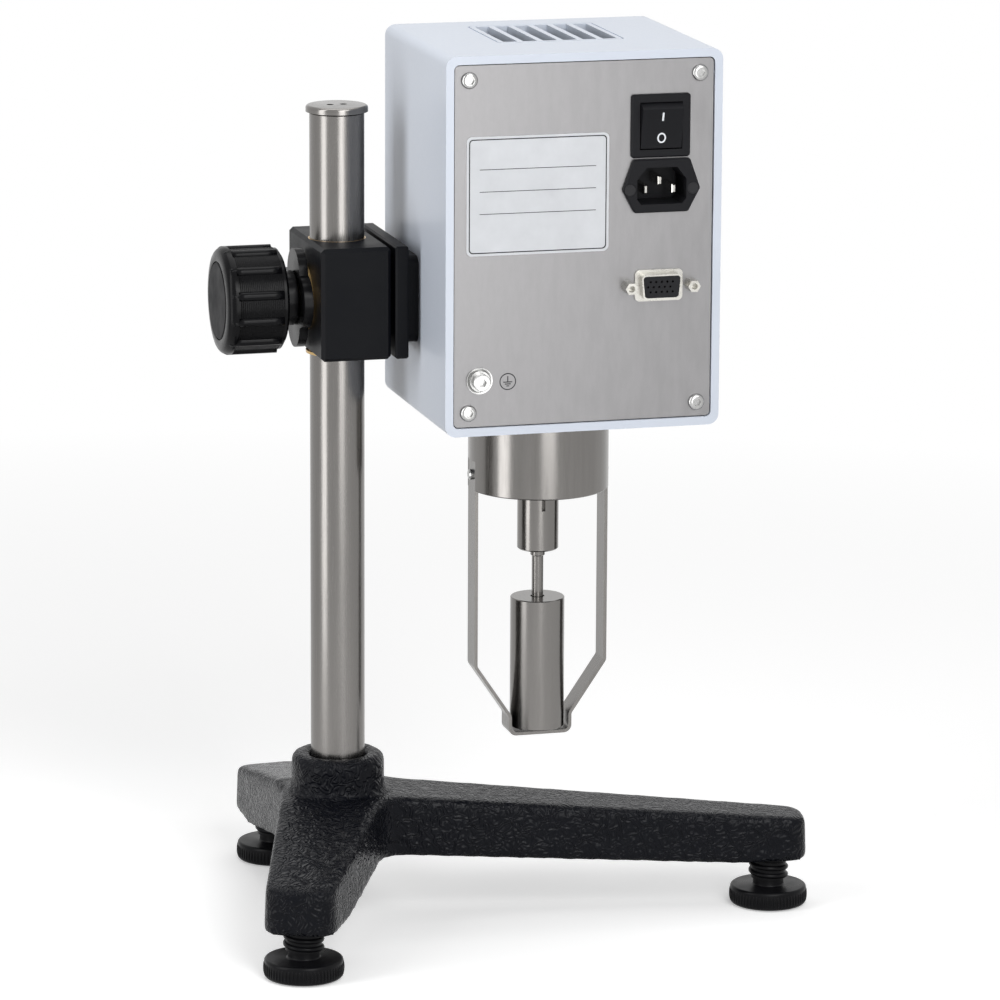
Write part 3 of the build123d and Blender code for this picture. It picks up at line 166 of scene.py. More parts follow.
def wrinklePaint():
    look = {"swirl": 6.0, "lines": 46.0, "pebble": 0.9, "depth": 0.27, "rough": 0.23}
    f = Finish("wrinkle_enamel", (0.008, 0.009, 0.012), look["rough"], 0.0, 0.0, 0.09)
    at = f.place()
    swirl = f.noise(at, 1 / look["swirl"], 1.5, 0.4, 0.5)
    wrinkle = (swirl * look["lines"]).wave()
    pebble = f.noise(at, 1 / look["pebble"], 2.0, 0.6)
    f.bump(wrinkle * 0.6 + pebble * 0.08, 1.0, look["depth"])
    f.feed("Roughness", pebble.ramp(0.35, 0.65, look["rough"] - 0.07, look["rough"] + 0.08))
    f.feed("Base Color", f.mix(f.noise(at, 0.02, 2.0), (0.003, 0.0034, 0.0052), (0.006, 0.0068, 0.0098)))
    return f.material


def drawnSteel(name, colour, along="z", rough=0.26, streak=0.04, grain=2.2, depth=0.006):
    f = Finish(name, colour, rough, 1.0)
    stretch = {"x": (streak, 1, 1), "y": (1, streak, 1), "z": (1, 1, streak)}[along]
    at = f.place(scale=stretch)
    fine = f.noise(at, grain, 4.0, 0.65)
    broad = f.noise(at, grain * 0.16, 2.0)
    f.feed("Roughness", (fine * 0.6 + broad * 0.4).ramp(0.3, 0.7, rough - 0.07, rough + 0.09))
    f.feed("Base Color", f.mix(broad.ramp(0.35, 0.65), tuple(c * 0.93 for c in colour), colour))
    f.bump(fine, 0.35, depth)
    return f.material


def turnedSteel(name, colour, centre, axis="z", rough=0.24, pitch=0.22, depth=0.005):
    f = Finish(name, colour, rough, 1.0)
    stretch = {"x": (1, 0.02, 0.02), "y": (0.02, 1, 0.02), "z": (0.02, 0.02, 1)}[axis]
    at = f.place(centre, stretch)
    lines = f.noise(at, 1 / pitch, 3.0, 0.7)
    soft = f.noise(at, 0.12 / pitch, 2.0)
    f.feed("Roughness", (lines * 0.6 + soft * 0.4).ramp(0.3, 0.7, rough - 0.06, rough + 0.08))
    f.feed("Base Color", f.mix(soft.ramp(0.35, 0.65), tuple(c * 0.94 for c in colour), colour))
    f.bump(lines, 0.4, depth)
    return f.material


def orangePeel(name, colour, rough=0.42, peel=1.4, depth=0.02):
    f = Finish(name, colour, rough, 0.0, 0.15)
    at = f.place()
    skin = f.noise(at, 1 / peel, 2.0, 0.5)
    cloud = f.noise(at, 0.03, 2.0)
    f.feed("Base Color", f.mix(cloud, tuple(c * 0.97 for c in colour), colour))
    f.feed("Roughness", skin.ramp(0.3, 0.7, rough - 0.05, rough + 0.05))
    f.bump(skin, 0.25, depth)
    return f.material


def mouldedPlastic(name, colour, rough=0.35, grain=0.5, depth=0.012, specular=0.1):
    wear = 0.12
    f = Finish(name, colour, rough, 0.0, 0.0, specular)
    at = f.place()
    fine = f.noise(at, 1 / grain, 3.0, 0.6)
    rubbed = f.noise(at, 0.09, 3.0, 0.6)
    f.feed("Roughness", (fine * 0.35 + rubbed * 0.65).ramp(0.3, 0.7, rough - 0.06, rough + wear))
    f.feed("Base Color", f.mix(rubbed, colour, tuple(c * 1.2 + 0.0004 for c in colour)))
    f.bump(fine, 0.3, depth)
    return f.material


def anodised(name, colour, rough=0.40, grain=0.75, depth=0.035):
    f = Finish(name, colour, rough, 0.0, 0.0, 0.07)
    at = f.place()
    skin = f.noise(at, 1 / grain, 2.5, 0.55, 0.4)
    worn = f.noise(at, 0.06, 3.0, 0.6)
    f.feed("Roughness", (skin * 0.4 + worn * 0.6).ramp(0.3, 0.7, rough - 0.06, rough + 0.08))
    f.feed("Base Color", f.mix(worn, colour, tuple(c * 1.25 for c in colour)))
    f.bump(skin, 0.4, depth)
    return f.material


def boardGreen():
    f = Finish("lacquered_board", (0.02, 0.10, 0.05), 0.35)
    at = f.place()
    x, y, z = f.split(at)
    lines = (x * 1.9).wave().fold().most((z * 1.7).wave().fold())
    net = f.cells(at, 0.22)
    tracks = (lines > 0.93).least(net > 0.12)
    f.feed("Base Color", f.mix(tracks, (0.014, 0.085, 0.042), (0.05, 0.20, 0.09)))
    f.feed("Roughness", tracks.ramp(0, 1, 0.42, 0.28))
    return f.material


def clearWindow():
    f = Finish("display_glass", (0.03, 0.045, 0.05), 0.06, 0.0, 0.6)
    at = f.place()
    haze = f.noise(at, 0.08, 2.0)
    f.feed("Roughness", haze.ramp(0.3, 0.7, 0.04, 0.12))
    f.feed("Base Color", f.mix(haze, (0.028, 0.042, 0.048), (0.04, 0.058, 0.062)))
    return f.material


warmSteel = (0.2, 0.192, 0.184)
paleSteel = (0.225, 0.222, 0.225)
finishes = {
    "enamel": wrinklePaint(),
    "rod": drawnSteel("drawn_rod", warmSteel, "z", 0.24, 0.03, 1.6, 0.004),
    "cap": turnedSteel("turned_cap", warmSteel, (0, 0, 0), "z", 0.2),
    "turned": drawnSteel("turned_steel", warmSteel, "z", 0.2, 0.05, 1.3, 0.003),
    "strip": drawnSteel("rolled_strip", warmSteel, "z", 0.26),
    "panel": drawnSteel("satin_panel", paleSteel, "z", 0.38, 0.25, 1.4, 0.006),
    "screw": turnedSteel("plated_screw", (0.42, 0.42, 0.415), (0, 0, 0), "y", 0.22),
    "paint": orangePeel("powder_coat", (0.66, 0.71, 0.80)),
    "knob": mouldedPlastic("glossy_phenolic", (0.003, 0.003, 0.0036), 0.2, 0.6, 0.006, 0.09),
    "insert": mouldedPlastic("knob_insert", (0.006, 0.006, 0.007), 0.45, 0.35, 0.02, 0.06),
    "foot": mouldedPlastic("foot_plastic", (0.004, 0.004, 0.0048), 0.3, 0.5, 0.012),
    "socket": mouldedPlastic("socket_plastic", (0.009, 0.0092, 0.0108), 0.4, 0.3, 0.02),
    "rubber": mouldedPlastic("pad_rubber", (0.022, 0.022, 0.022), 0.75, 0.8, 0.03),
    "block": anodised("black_block", (0.003, 0.0034, 0.0046)),
    "blackSteel": anodised("blackened_steel", (0.03, 0.03, 0.032), 0.42),
    "bronze": turnedSteel("turned_bronze", (0.58, 0.40, 0.18), (0, 0, 293.6), "x", 0.3),
    "pin": turnedSteel("bright_pin", (0.55, 0.54, 0.51), (0, 0, 0), "y", 0.18),
    "tin": drawnSteel("tinned_shell", (0.46, 0.45, 0.42), "x", 0.28, 0.2, 1.5, 0.01),
    "insertBlack": mouldedPlastic("socket_insert", (0.016, 0.016, 0.018), 0.4, 0.3, 0.02),
    "film": mouldedPlastic("front_film", (0.10, 0.13, 0.19), 0.4, 0.8, 0.01),
    "keys": mouldedPlastic("key_rubber", (0.30, 0.33, 0.38), 0.5, 0.6, 0.015),
    "window": clearWindow(),
    "board": boardGreen(),
    "milled": drawnSteel("milled_aluminium", (0.68, 0.69, 0.70), "x", 0.34, 0.1, 1.2, 0.01),
    "case": anodised("motor_case", (0.05, 0.05, 0.055), 0.4),
    "labelWhite": mouldedPlastic("label_white", (0.62, 0.635, 0.66), 0.32, 1.2, 0.006),
    "markWhite": mouldedPlastic("mark_white", (0.78, 0.80, 0.83), 0.45, 0.8, 0.006),
    "ink": mouldedPlastic("print_black", (0.012, 0.012, 0.014), 0.4, 0.8, 0.004),
    "spring": drawnSteel("spring_steel", (0.55, 0.52, 0.47), "x", 0.25, 0.2, 2.0, 0.004),
}
dressing = {
    "base_casting": "enamel", "column_rod": "rod", "column_cap": "cap", "column_bolt": "blackSteel",
    "foot_screw_long": "foot", "foot_screw_rear_side": "foot", "foot_screw_front_side": "foot",
    "foot_pad_long": "rubber", "foot_pad_rear_side": "rubber", "foot_pad_front_side": "rubber",
    "height_bush": "bronze", "clamp_block": "block", "mount_plate": "block", "mount_screws": "blackSteel",
    "clamp_knob": "knob", "knob_cap": "insert", "clamp_stud": "blackSteel", "thrust_pad": "bronze",
    "clamp_nut": "bronze", "lock_ring": "knob", "housing_shell": "paint", "rear_panel": "panel",
    "rear_panel_screws": "screw", "switch_bezel": "socket", "switch_rocker": "socket",
    "power_inlet": "socket",
    "inlet_pins": "pin", "inlet_screws": "blackSteel", "serial_shell": "tin", "serial_insert": "insertBlack",
    "serial_jacks": "tin", "earth_washers": "screw", "earth_screw": "screw", "front_panel": "film",
    "display_window": "window", "display_module": "board", "key_board": "board", "collar": "turned",
    "collar_screws": "blackSteel", "bearing_plate": "milled", "frame_pillars": "milled",
    "motor_plate": "milled", "drive_motor": "case", "drive_hub": "milled", "hairspring": "spring",
    "pivot_shaft": "spring",
    "jewel_bearing": "spring", "optical_sensors": "insertBlack", "spindle_holder": "turned",
    "spindle_nut": "turned", "spindle": "turned", "guard": "strip", "guard_screws": "screw",
    "main_board": "board", "board_standoffs": "milled", "power_supply": "case",
    "key_1": "keys", "key_2": "keys", "key_3": "keys", "key_4": "keys",
}
for name, finish in dressing.items():
    mesh = nodes[name].data
    mesh.materials.clear()
    mesh.materials.append(finishes[finish])
print("finishes", len(finishes))


# ---- smooth copies of the turned and cast nodes

def smoothCopy(node, finish, edge=34.0):   # faces that meet at less than edge degrees are shaded smooth
    mesh = nodes[node].data.copy()
    piece = bpy.data.objects.new("dressed_" + node, mesh)
    bpy.context.scene.collection.objects.link(piece)
    work = bmesh.new()
    work.from_mesh(mesh)
    bmesh.ops.remove_doubles(work, verts=work.verts, dist=2e-6)
    for face in work.faces:
        face.smooth = True
    for rim in work.edges:
        rim.smooth = not (rim.is_manifold and rim.calc_face_angle(0.0) > radians(edge))
    work.to_mesh(mesh)
    work.free()
    mesh.materials.clear()
    mesh.materials.append(finishes[finish])
    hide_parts(node)
    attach(piece, nodes[node]["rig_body"])


for name in ("column_rod", "column_cap", "collar", "spindle_holder", "spindle_nut", "spindle", "knob_cap",
             "lock_ring", "housing_shell", "guard", "clamp_block", "mount_plate", "power_inlet",
             "switch_bezel", "switch_rocker", "serial_shell", "serial_jacks", "rear_panel_screws",
             "earth_screw", "earth_washers", "inlet_screws"):
    smoothCopy(name, dressing[name])
print("smooth copies made")


# ---- Geometry Nodes: one recipe for each thing that repeats

class Recipe(Maker):
    def __init__(self, name, **sizes):
        self.tree = bpy.data.node_groups.new(name, "GeometryNodeTree")
        face = self.tree.interface
        face.new_socket(name="Geometry", in_out="INPUT", socket_type="NodeSocketGeometry")
        face.new_socket(name="Geometry", in_out="OUTPUT", socket_type="NodeSocketGeometry")
        self.keys = {}
        for key, value in sizes.items():
            kind = "NodeSocketInt" if isinstance(value, int) else "NodeSocketFloat"
            made = face.new_socket(name=key, in_out="INPUT", socket_type=kind)
            made.default_value = value
            self.keys[key] = made.identifier
        self.begin = self.tree.nodes.new("NodeGroupInput")
        self.end = self.tree.nodes.new("NodeGroupOutput")

    def given(self, key):
        return Wire(self, self.begin.outputs[key])

    def gather(self, *parts):
        made = self.tree.nodes.new("GeometryNodeJoinGeometry")
        for part in reversed(parts):
            self.tree.links.new(part.socket, made.inputs[0])
        return Wire(self, made.outputs[0])

    def finish(self, shape, material):
        real = self.node("GeometryNodeRealizeInstances", None, shape)
        smooth = self.node("GeometryNodeSetShadeSmooth", None, real)
        dressed = self.node("GeometryNodeSetMaterial", None, smooth, Material=material)
        self.tree.links.new(dressed.socket, self.end.inputs[0])
        return self


def addPiece(name, mesh, finish=None):
    if finish:
        mesh.materials.clear()
        mesh.materials.append(finishes[finish])
    piece = bpy.data.objects.new(name, mesh)
    bpy.context.scene.collection.objects.link(piece)
    return piece


def grow(name, seed, recipe, place=None, **sizes):   # seed mesh in, finished plain piece out
    host = addPiece(name, seed)
    made = host.modifiers.new("recipe", "NODES")
    made.node_group = recipe.tree
    for key, value in sizes.items():
        made[recipe.keys[key]] = value
    bpy.context.view_layer.update()
    mesh = bpy.data.meshes.new_from_object(host.evaluated_get(bpy.context.evaluated_depsgraph_get()))
    host.modifiers.remove(made)
    if place:
        mesh.transform(place)
    host.data = mesh
    return host


def outward(mesh, sharp=35.0):
    work = bmesh.new()
    work.from_mesh(mesh)
    bmesh.ops.remove_doubles(work, verts=work.verts, dist=1e-6)
    bmesh.ops.recalc_face_normals(work, faces=work.faces)
    for face in work.faces:
        face.smooth = True
    for rim in work.edges:
        rim.smooth = not (rim.is_manifold and rim.calc_face_angle(0.0) > radians(sharp))
    work.to_mesh(mesh)
    work.free()
    return mesh


def turnedMesh(name, profile, steps, sharp):   # (radius, height) pairs in mm round Z, from axis to axis
    work = bmesh.new()
    rings = []
    for r, z in profile:
        if r < 1e-6:
            rings.append([work.verts.new((0, 0, z * mm))])
        else:
            turns = [2 * pi * i / steps for i in range(steps)]
            rings.append([work.verts.new((r * mm * cos(t), r * mm * sin(t), z * mm)) for t in turns])
    for low, high in zip(rings, rings[1:]):
        for i in range(steps):
            j = (i + 1) % steps
            loop = [low[i % len(low)], low[j % len(low)], high[j % len(high)], high[i % len(high)]]
            loop = [v for k, v in enumerate(loop) if v not in loop[:k]]
            if len(loop) > 2:
                work.faces.new(loop)
    mesh = bpy.data.meshes.new(name)
    work.to_mesh(mesh)
    work.free()
    return outward(mesh, sharp)


def arc(cx, cz, r, start, end, steps=6):   # profile points of a rounded edge, degrees
    return [(cx + r * cos(radians(start + (end - start) * i / steps)),
             cz + r * sin(radians(start + (end - start) * i / steps))) for i in range(steps + 1)]


# ---- levelling feet: turned disc, upright ribs round it and a round-crested coarse thread

footSizes = {"rimRadius": 17.78, "ribRadius": 0.6, "ribs": 66, "ribLow": 1.7, "ribHigh": 7.6, "discHigh": 9.2,
             "neck": 7.2, "neckHigh": 12.6, "core": 8.25, "crest": 9.4, "crestRadius": 1.25, "turns": 4.4,
             "threadGap": 1.3, "top": 31.8, "padHole": 15.3}


def footRecipe():
    s = footSizes
    r = Recipe("foot_rib_and_thread", ribs=s["ribs"], ribRadius=s["ribRadius"] * mm,
               rimRadius=s["rimRadius"] * mm, ribLength=(s["ribHigh"] - s["ribLow"]) * mm,
               threadRadius=(s["crest"] - s["crestRadius"]) * mm, crestRadius=s["crestRadius"] * mm,
               turns=s["turns"],
               threadLength=(s["top"] - s["threadGap"] - s["neckHigh"] - s["threadGap"]) * mm)
    ring = r.node("GeometryNodeMeshCircle", None, r.given("ribs"), r.given("rimRadius"))
    capsule = r.node("GeometryNodeMeshUVSphere", None, 8, 6, r.given("ribRadius"))
    stretch = r.given("ribLength") / (r.given("ribRadius") * 2.0)
    tall = r.node("GeometryNodeTransform", None, capsule,
                  Scale=r.node("ShaderNodeCombineXYZ", None, 1.0, 1.0, stretch))
    ribs = r.node("GeometryNodeInstanceOnPoints", None, ring, Instance=tall)
    low = r.node("GeometryNodeTransform", None, ribs,
                 Translation=(0, 0, (s["ribLow"] + s["ribHigh"]) / 2 * mm))
    coil = r.node("GeometryNodeCurveSpiral", None, 48, r.given("turns"), r.given("threadRadius"),
                  r.given("threadRadius"), r.given("threadLength"))
    crest = r.node("GeometryNodeCurvePrimitiveCircle", {"mode": "RADIUS"}, 10, Radius=r.given("crestRadius"))
    thread = r.node("GeometryNodeCurveToMesh", None, coil, crest, Fill_Caps=True)
    lifted = r.node("GeometryNodeTransform", None, thread,
                    Translation=(0, 0, (s["neckHigh"] + s["threadGap"]) * mm))
    return r.finish(r.gather(r.given("Geometry"), low, lifted), finishes["foot"])


def footProfile():
    s = footSizes
    high, rim = s["discHigh"], s["rimRadius"] + 0.1
    points = [(0, 7.0), (s["padHole"], 7.0), (s["padHole"], 0.8), (rim - 0.6, 0.8), (rim, 1.5)]
    points += arc(rim - 1.3, high - 1.3, 1.3, 0, 90)
    points += [(s["neck"] + 0.9, high)] + arc(s["neck"] + 0.9, high + 0.9, 0.9, -90, -180, 4)[1:]
    points += [(s["neck"], s["neckHigh"]), (s["core"], s["neckHigh"] + 0.2), (s["core"], s["top"])]
    points += [(0, s["top"])]
    return points


def makeFeet():
    recipe = footRecipe()
    seed = turnedMesh("foot_turning", footProfile(), 128, 40)
    for end in ("long", "rear_side", "front_side"):
        x, y = footAxis(end)
        foot = grow("foot_" + end, seed.copy(), recipe, Matrix.Translation((x, y, 0)))
        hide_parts("foot_screw_" + end)
        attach(foot, "foot_" + end)


def footAxis(end):
    low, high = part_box("foot_pad_" + end)
    return (low.x + high.x) / 2, (low.y + high.y) / 2


# ---- clamp knob: turned body, twelve glossy bars and fine rings between them

knobSizes = {"face": -56.0, "back": -27.0, "radius": 24.75, "land": 23.2, "bars": 12, "bar": 2.15,
             "barLength": 22.6, "barMiddle": 41.2, "rings": 24, "ringPitch": 0.86, "ringFirst": 29.9,
             "ringThick": 0.24, "insert": 17.6, "sleeve": 12.5, "sleeveEnd": -20.75, "turn": 14}


def knobRecipe():
    s = knobSizes
    r = Recipe("knob_bars_and_rings", bars=s["bars"], barRadius=s["bar"] * mm,
               barCircle=(s["radius"] - s["bar"]) * mm, barLength=s["barLength"] * mm, rings=s["rings"],
               ringRadius=s["land"] * mm, ringPitch=s["ringPitch"] * mm, ringThick=s["ringThick"] * mm)
    circle = r.node("GeometryNodeMeshCircle", None, r.given("bars"), r.given("barCircle"))
    rod = r.node("GeometryNodeMeshCylinder", None, 20, 5, 1, r.given("barRadius"), r.given("barLength"))
    nose = r.node("GeometryNodeMeshUVSphere", None, 20, 10, r.given("barRadius"))
    noseUp = r.node("GeometryNodeTransform", None, nose, Translation=r.node(
        "ShaderNodeCombineXYZ", None, 0.0, 0.0, r.given("barLength") * 0.5))
    bars = r.node("GeometryNodeInstanceOnPoints", None, circle, Instance=r.gather(rod, noseUp))
    barsPlaced = r.node("GeometryNodeTransform", None, bars, Translation=(0, 0, s["barMiddle"] * mm))
    line = r.node("GeometryNodeMeshLine", None, r.given("rings"), None, (0, 0, s["ringFirst"] * mm), r.node(
        "ShaderNodeCombineXYZ", None, 0.0, 0.0, r.given("ringPitch")))
    path, edge = [r.node("GeometryNodeCurvePrimitiveCircle", {"mode": "RADIUS"}, steps, Radius=r.given(key))
                    for steps, key in ((144, "ringRadius"), (6, "ringThick"))]
    hoop = r.node("GeometryNodeCurveToMesh", None, path, edge)
    hoops = r.node("GeometryNodeInstanceOnPoints", None, line, Instance=hoop)
    return r.finish(r.gather(r.given("Geometry"), barsPlaced, hoops), finishes["knob"])


def knobProfile():   # radius against depth behind the block, so the face is the far end
    s = knobSizes
    face, back = -s["face"], -s["back"]
    land = s["land"] - 0.1
    end = -s["sleeveEnd"]
    points = [(0, end), (s["sleeve"] - 0.4, end), (s["sleeve"], end + 0.4), (s["sleeve"], back - 0.2),
              (land - 2.2, back), (land, back + 1.4), (land, face - 5.2)]
    points += [(s["radius"] - 0.1, face - 4.9)] + arc(s["radius"] - 4.1, face - 4.2, 4.0, 0, 62, 8)
    points += [(s["insert"] + 1.0, face - 0.1), (s["insert"] + 0.4, face - 0.3),
               (s["insert"] + 0.2, face - 1.2), (0, face - 1.2)]
    return points


def makeKnob():
    seed = turnedMesh("knob_turning", knobProfile(), 144, 32)
    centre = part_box("clamp_stud")
    z = (centre[0].z + centre[1].z) / 2
    turn = Matrix.Translation((0, 0, z)) @ Matrix.Rotation(radians(-90), 4, "Y") @ \
        Matrix.Rotation(radians(knobSizes["turn"]), 4, "Z")
    knob = grow("grip_knob", seed, knobRecipe(), turn)
    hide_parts("clamp_knob")
    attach(knob, "knob")


# ---- casting: the same form with soft foundry edges

def makeCasting():
    # remeshed at a tilt, so that flat walls don't step
    cast = {"voxel": 1.3, "smooth": 0.6, "passes": 22, "tilt": (33, 27, 41)}
    tilt = Euler([radians(v) for v in cast["tilt"]]).to_matrix().to_4x4()
    mesh = nodes["base_casting"].data.copy()
    work = bmesh.new()
    work.from_mesh(mesh)
    bmesh.ops.remove_doubles(work, verts=work.verts, dist=2e-6)
    work.to_mesh(mesh)
    work.free()
    mesh.transform(tilt)
    piece = addPiece("soft_casting", mesh, "enamel")
    remesh = {"mode": "VOXEL", "voxel_size": cast["voxel"] * mm, "use_smooth_shade": True}
    soften = {"factor": cast["smooth"], "iterations": cast["passes"]}
    for kind, settings in (("REMESH", remesh), ("SMOOTH", soften)):
        made = piece.modifiers.new(kind.lower(), kind)
        for key, value in settings.items():
            setattr(made, key, value)
    bpy.context.view_layer.update()
    done = bpy.data.meshes.new_from_object(piece.evaluated_get(bpy.context.evaluated_depsgraph_get()))
    piece.modifiers.clear()
    piece.data = done
    done.transform(tilt.inverted())
    done.materials.clear()
    done.materials.append(finishes["enamel"])
    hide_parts("base_casting")
    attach(piece, "stand")


# ---- marks and plates on the rear panel

def slabMesh(name, outline, low, high, hole=None):   # outline in panel x and z, extruded along y
    work = bmesh.new()
    front = [work.verts.new((x * mm, low * mm, z * mm)) for x, z in outline]
    back = [work.verts.new((x * mm, high * mm, z * mm)) for x, z in outline]
    n = len(outline)
    if hole:
        hf = [work.verts.new((x * mm, low * mm, z * mm)) for x, z in hole]
        hb = [work.verts.new((x * mm, high * mm, z * mm)) for x, z in hole]
        for i in range(n):
            j = (i + 1) % n
            work.faces.new([front[i], front[j], hf[j], hf[i]])
            work.faces.new([back[j], back[i], hb[i], hb[j]])
            work.faces.new([front[j], front[i], back[i], back[j]])
            work.faces.new([hf[i], hf[j], hb[j], hb[i]])
    else:
        work.faces.new(front)
        work.faces.new(list(reversed(back)))
        for i in range(n):
            j = (i + 1) % n
            work.faces.new([front[j], front[i], back[i], back[j]])
    mesh = bpy.data.meshes.new(name)
    work.to_mesh(mesh)
    work.free()
    return outward(mesh, 40)


def roundedOutline(x, z, w, h, r, steps=6):
    points = []
    for cx, cz, start in ((x + w / 2 - r, z + h / 2 - r, 0), (x - w / 2 + r, z + h / 2 - r, 90),
                          (x - w / 2 + r, z - h / 2 + r, 180), (x + w / 2 - r, z - h / 2 + r, 270)):
        points += arc(cx, cz, r, start, start + 90, steps)
    return points


def circleOutline(x, z, r, steps=40):
    return [(x + r * cos(2 * pi * i / steps), z + r * sin(2 * pi * i / steps)) for i in range(steps)]


panelLow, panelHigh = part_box("rear_panel")
panelSizes = {"left": panelLow.x / mm, "top": panelHigh.z / mm, "face": panelLow.y / mm}


def onPanel(along, down):
    return panelSizes["left"] + along, panelSizes["top"] - down


def joinMeshes(name, meshes, finish):
    work = bmesh.new()
    for mesh in meshes:
        work.from_mesh(mesh)
    mesh = bpy.data.meshes.new(name)
    work.to_mesh(mesh)
    work.free()
    return addPiece(name, mesh, finish)


def makeLabel():
    label = {"at": (38.3, 58.7), "size": (65.8, 53.6), "corner": 2.5, "proud": 0.35, "border": 1.1,
             "line": 0.45, "rules": (12.0, 2.0, -8.0), "rule": 0.28, "ruleShort": 12, "ink": 0.04}
    x, z = onPanel(*label["at"])
    w, h = label["size"]
    face = panelSizes["face"]
    plate = addPiece("bare_label", slabMesh("bare_label", roundedOutline(x, z, w, h, label["corner"]),
                                            face - label["proud"], face), "labelWhite")
    front = face - label["proud"]
    b, t = label["border"], label["line"]
    frameLine = slabMesh("label_line", roundedOutline(x, z, w - 2 * b, h - 2 * b, label["corner"] - b * 0.6),
                         front - label["ink"], front,
                         roundedOutline(x, z, w - 2 * b - 2 * t, h - 2 * b - 2 * t,
                                        label["corner"] - b * 0.6 - t * 0.6))
    rules = [slabMesh("rule", roundedOutline(x, z + off, w - label["ruleShort"], label["rule"], 0.1),
                      front - label["ink"], front) for off in label["rules"]]
    lines = joinMeshes("label_lines", [frameLine, *rules], "ink")
    for piece in (plate, lines):
        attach(piece, "head")


def makeMarks():
    earth = {"at": (24.9, 143.0), "radius": 3.85, "line": 0.42, "ink": 0.05, "stem": (-0.2, 2.5),
             "bars": ((4.2, 0.2), (2.8, 1.1), (1.3, 2.0))}   # bars as width and drop
    x, z = onPanel(*earth["at"])
    face, r, t = panelSizes["face"], earth["radius"], earth["line"]
    front = face - earth["ink"]
    bars = [slabMesh("earth", circleOutline(x, z, r), front, face, circleOutline(x, z, r - t))]
    strokes = [(width / 2, z - down - t / 2, z - down + t / 2) for width, down in earth["bars"]]
    strokes.append((t / 2, z + earth["stem"][0], z + earth["stem"][1]))
    for half, low, high in strokes:
        bars.append(slabMesh("earth", [(x - half, low), (x + half, low), (x + half, high), (x - half, high)],
                             front, face))
    sign = joinMeshes("earth_sign", bars, "ink")
    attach(sign, "head")


def makeSwitchMarks():   # a bar on the raised half and a ring on the pressed half
    mark = {"bar": (0.85, 4.1), "ring": (2.05, 2.4), "stroke": 0.72, "proud": 0.06, "sunk": 0.02,
            "pivot": (0.7, 29.7), "barAt": (-5.41, 4.5, 16.73), "ringAt": (-3.171, -5.35, 8.05), "steps": 40}
    low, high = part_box("switch_rocker")
    x = (low.x + high.x) / 2 / mm
    pivotY, pivotZ = panelSizes["face"] + mark["pivot"][0], onPanel(0, mark["pivot"][1])[1]
    w, h = mark["bar"]
    bar = slabMesh("bar", roundedOutline(0, 0, w, h, w * 0.3), -mark["proud"], mark["sunk"])
    a, b = mark["ring"]
    t = mark["stroke"]
    turns = [2 * pi * i / mark["steps"] for i in range(mark["steps"])]
    outer, inner = [[((a - cut) * cos(u), (b - cut) * sin(u)) for u in turns] for cut in (0, t)]
    ring = slabMesh("ring", outer, -mark["proud"], mark["sunk"], inner)
    for mesh, (y, z, lean) in ((bar, mark["barAt"]), (ring, mark["ringAt"])):
        mesh.transform(Matrix.Translation((x * mm, (pivotY + y) * mm, (pivotZ + z) * mm)) @
                       Matrix.Rotation(radians(lean), 4, "X"))
    marks = joinMeshes("switch_marks", [bar, ring], "markWhite")
    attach(marks, "rocker")


makeFeet()
makeKnob()
makeCasting()
makeLabel()
makeMarks()
makeSwitchMarks()
print("dressed pieces made")


# ---- camera, floor and light

def camera():
    view = {"place": (-0.59567, -2.43570, 0.76139), "lens": 201.24,
            "right": (0.96413711, -0.26536183, 0.00476809), "up": (0.053674, 0.21254453, 0.97567614),
            "ahead": (0.25992064, 0.94042965, -0.2191651)}
    data = bpy.data.cameras.new("camera")
    data.lens, data.sensor_width = view["lens"], 36.0
    data.clip_start, data.clip_end = 0.1, 50.0
    eye = bpy.data.objects.new("camera", data)
    r, u, a = view["right"], view["up"], view["ahead"]
    eye.matrix_world = Matrix.Translation(view["place"]) @ Matrix(
        ((r[0], u[0], -a[0], 0), (r[1], u[1], -a[1], 0), (r[2], u[2], -a[2], 0), (0, 0, 0, 1)))
    bpy.context.scene.collection.objects.link(eye)
    bpy.context.scene.camera = eye


def shownTo(maker):   # 1 for what the camera, metal and glass see, 0 for light on its way to a surface
    path = maker.node("ShaderNodeLightPath")
    camera, glossy, clear = [Wire(maker, path.socket.node.outputs["Is " + kind + " Ray"])
                             for kind in ("Camera", "Glossy", "Transmission")]
    return camera.most(glossy).most(clear)


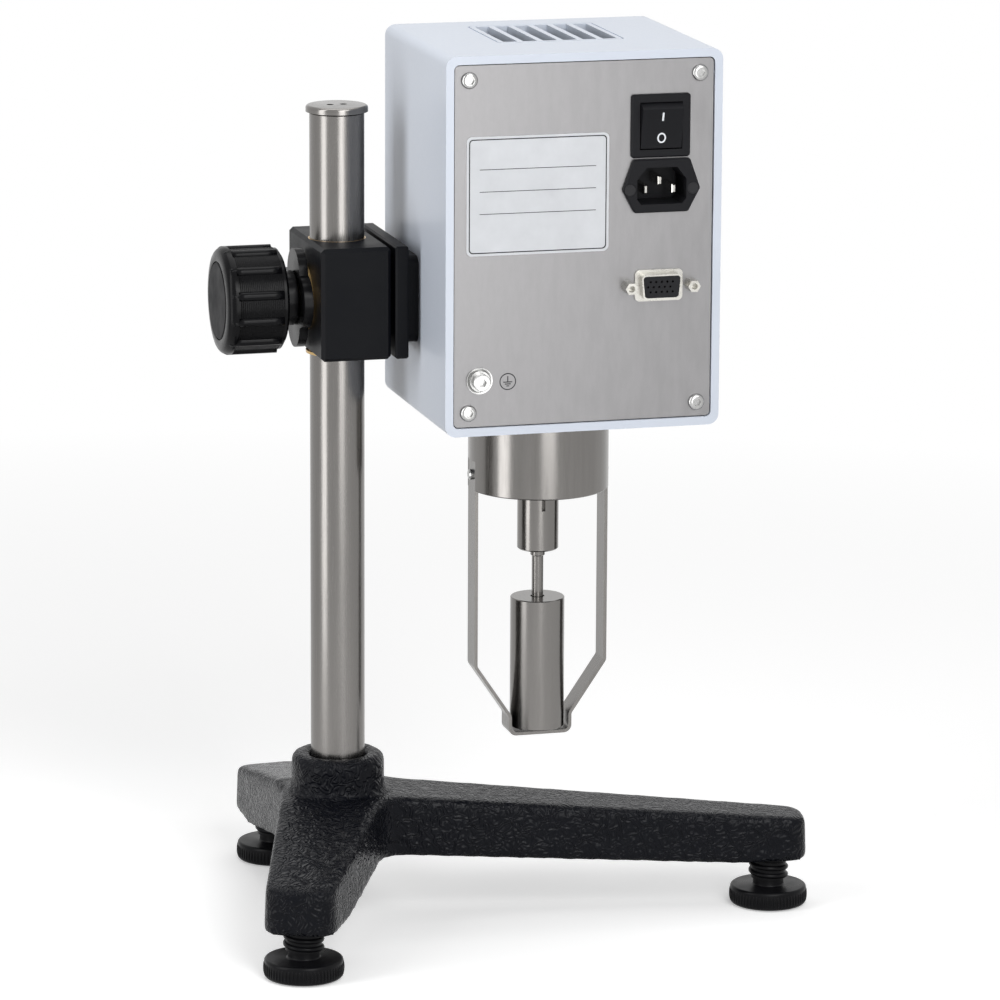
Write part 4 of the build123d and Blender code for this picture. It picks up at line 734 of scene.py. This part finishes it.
def whiteRoom():
    # the floor glows evenly from "far" on, and nearer it keeps the shadow
    room = {"half": 6.0, "sky": 0.17, "bounce": 0.3, "glow": 0.36, "near": 0.3, "far": 1.1}
    f = Finish("floor_white", (0.9, 0.9, 0.9), 0.9, 0.0, 0.0, 0.0)
    eye = shownTo(f)
    glow = f.node("ShaderNodeEmission", None, (1, 1, 1, 1), room["glow"])
    lit = f.node("ShaderNodeAddShader", None, Wire(f, f.shader.outputs[0]), glow)
    dull = f.node("ShaderNodeBsdfDiffuse", None, (room["bounce"], room["bounce"], room["bounce"], 1))
    white = f.node("ShaderNodeEmission", None, (1, 1, 1, 1), 1.0)
    reach = f.node("ShaderNodeVectorMath", {"operation": "LENGTH"}, f.place(), out=1)
    away = reach.ramp(room["near"] / mm, room["far"] / mm, 0.0, 1.0)
    pale = f.node("ShaderNodeMixShader", None, away, lit, white)
    seen = f.node("ShaderNodeMixShader", None, eye, dull, pale)
    out = next(n for n in f.tree.nodes if n.type == "OUTPUT_MATERIAL")
    f.tree.links.new(seen.socket, out.inputs[0])
    mesh = bpy.data.meshes.new("floor")
    s = room["half"]
    mesh.from_pydata([(-s, -s, 0), (s, -s, 0), (s, s, 0), (-s, s, 0)], [], [(0, 1, 2, 3)])
    mesh.materials.append(f.material)
    floor = bpy.data.objects.new("floor", mesh)
    bpy.context.scene.collection.objects.link(floor)
    world = Maker()
    bpy.context.scene.world = bpy.data.worlds.new("studio")
    bpy.context.scene.world.use_nodes = True
    world.tree = bpy.context.scene.world.node_tree
    world.tree.nodes.clear()
    level = world.node("ShaderNodeMapRange", None, shownTo(world), 0.0, 1.0, room["sky"], 1.0)
    back = world.node("ShaderNodeBackground", None, (1, 1, 1, 1), level)
    out = world.tree.nodes.new("ShaderNodeOutputWorld")
    world.tree.links.new(back.socket, out.inputs[0])


lamps = {   # place, aim, size in metres and watts
    "key_light": ((0.55, -1.9, 1.75), (0.05, 0, 0.25), (1.4, 0.9), 20),
    "left_card": ((-0.52, -0.19, 0.5), (0.05, 0, 0.5), (0.22, 1.0), 2.6),
    "front_card": ((0.12, -1.1, 0.55), (0.05, 0, 0.55), (0.42, 1.1), 6.0),
    "top_light": ((0.1, 0.3, 1.7), (0.05, 0, 0.3), (1.2, 1.2), 9),
}


def softLight(name, place, aim, size, power):
    data = bpy.data.lights.new(name, "AREA")
    data.shape = "RECTANGLE"
    data.size, data.size_y = size
    data.energy = power
    lamp = bpy.data.objects.new(name, data)
    lamp.location = place
    lamp.rotation_euler = (Vector(aim) - Vector(place)).to_track_quat("-Z", "Y").to_euler()
    bpy.context.scene.collection.objects.link(lamp)


bpy.context.scene.view_settings.view_transform = "Standard"
camera()
whiteRoom()
for name, settings in lamps.items():
    softLight(name, *settings)
print("camera, floor and light")
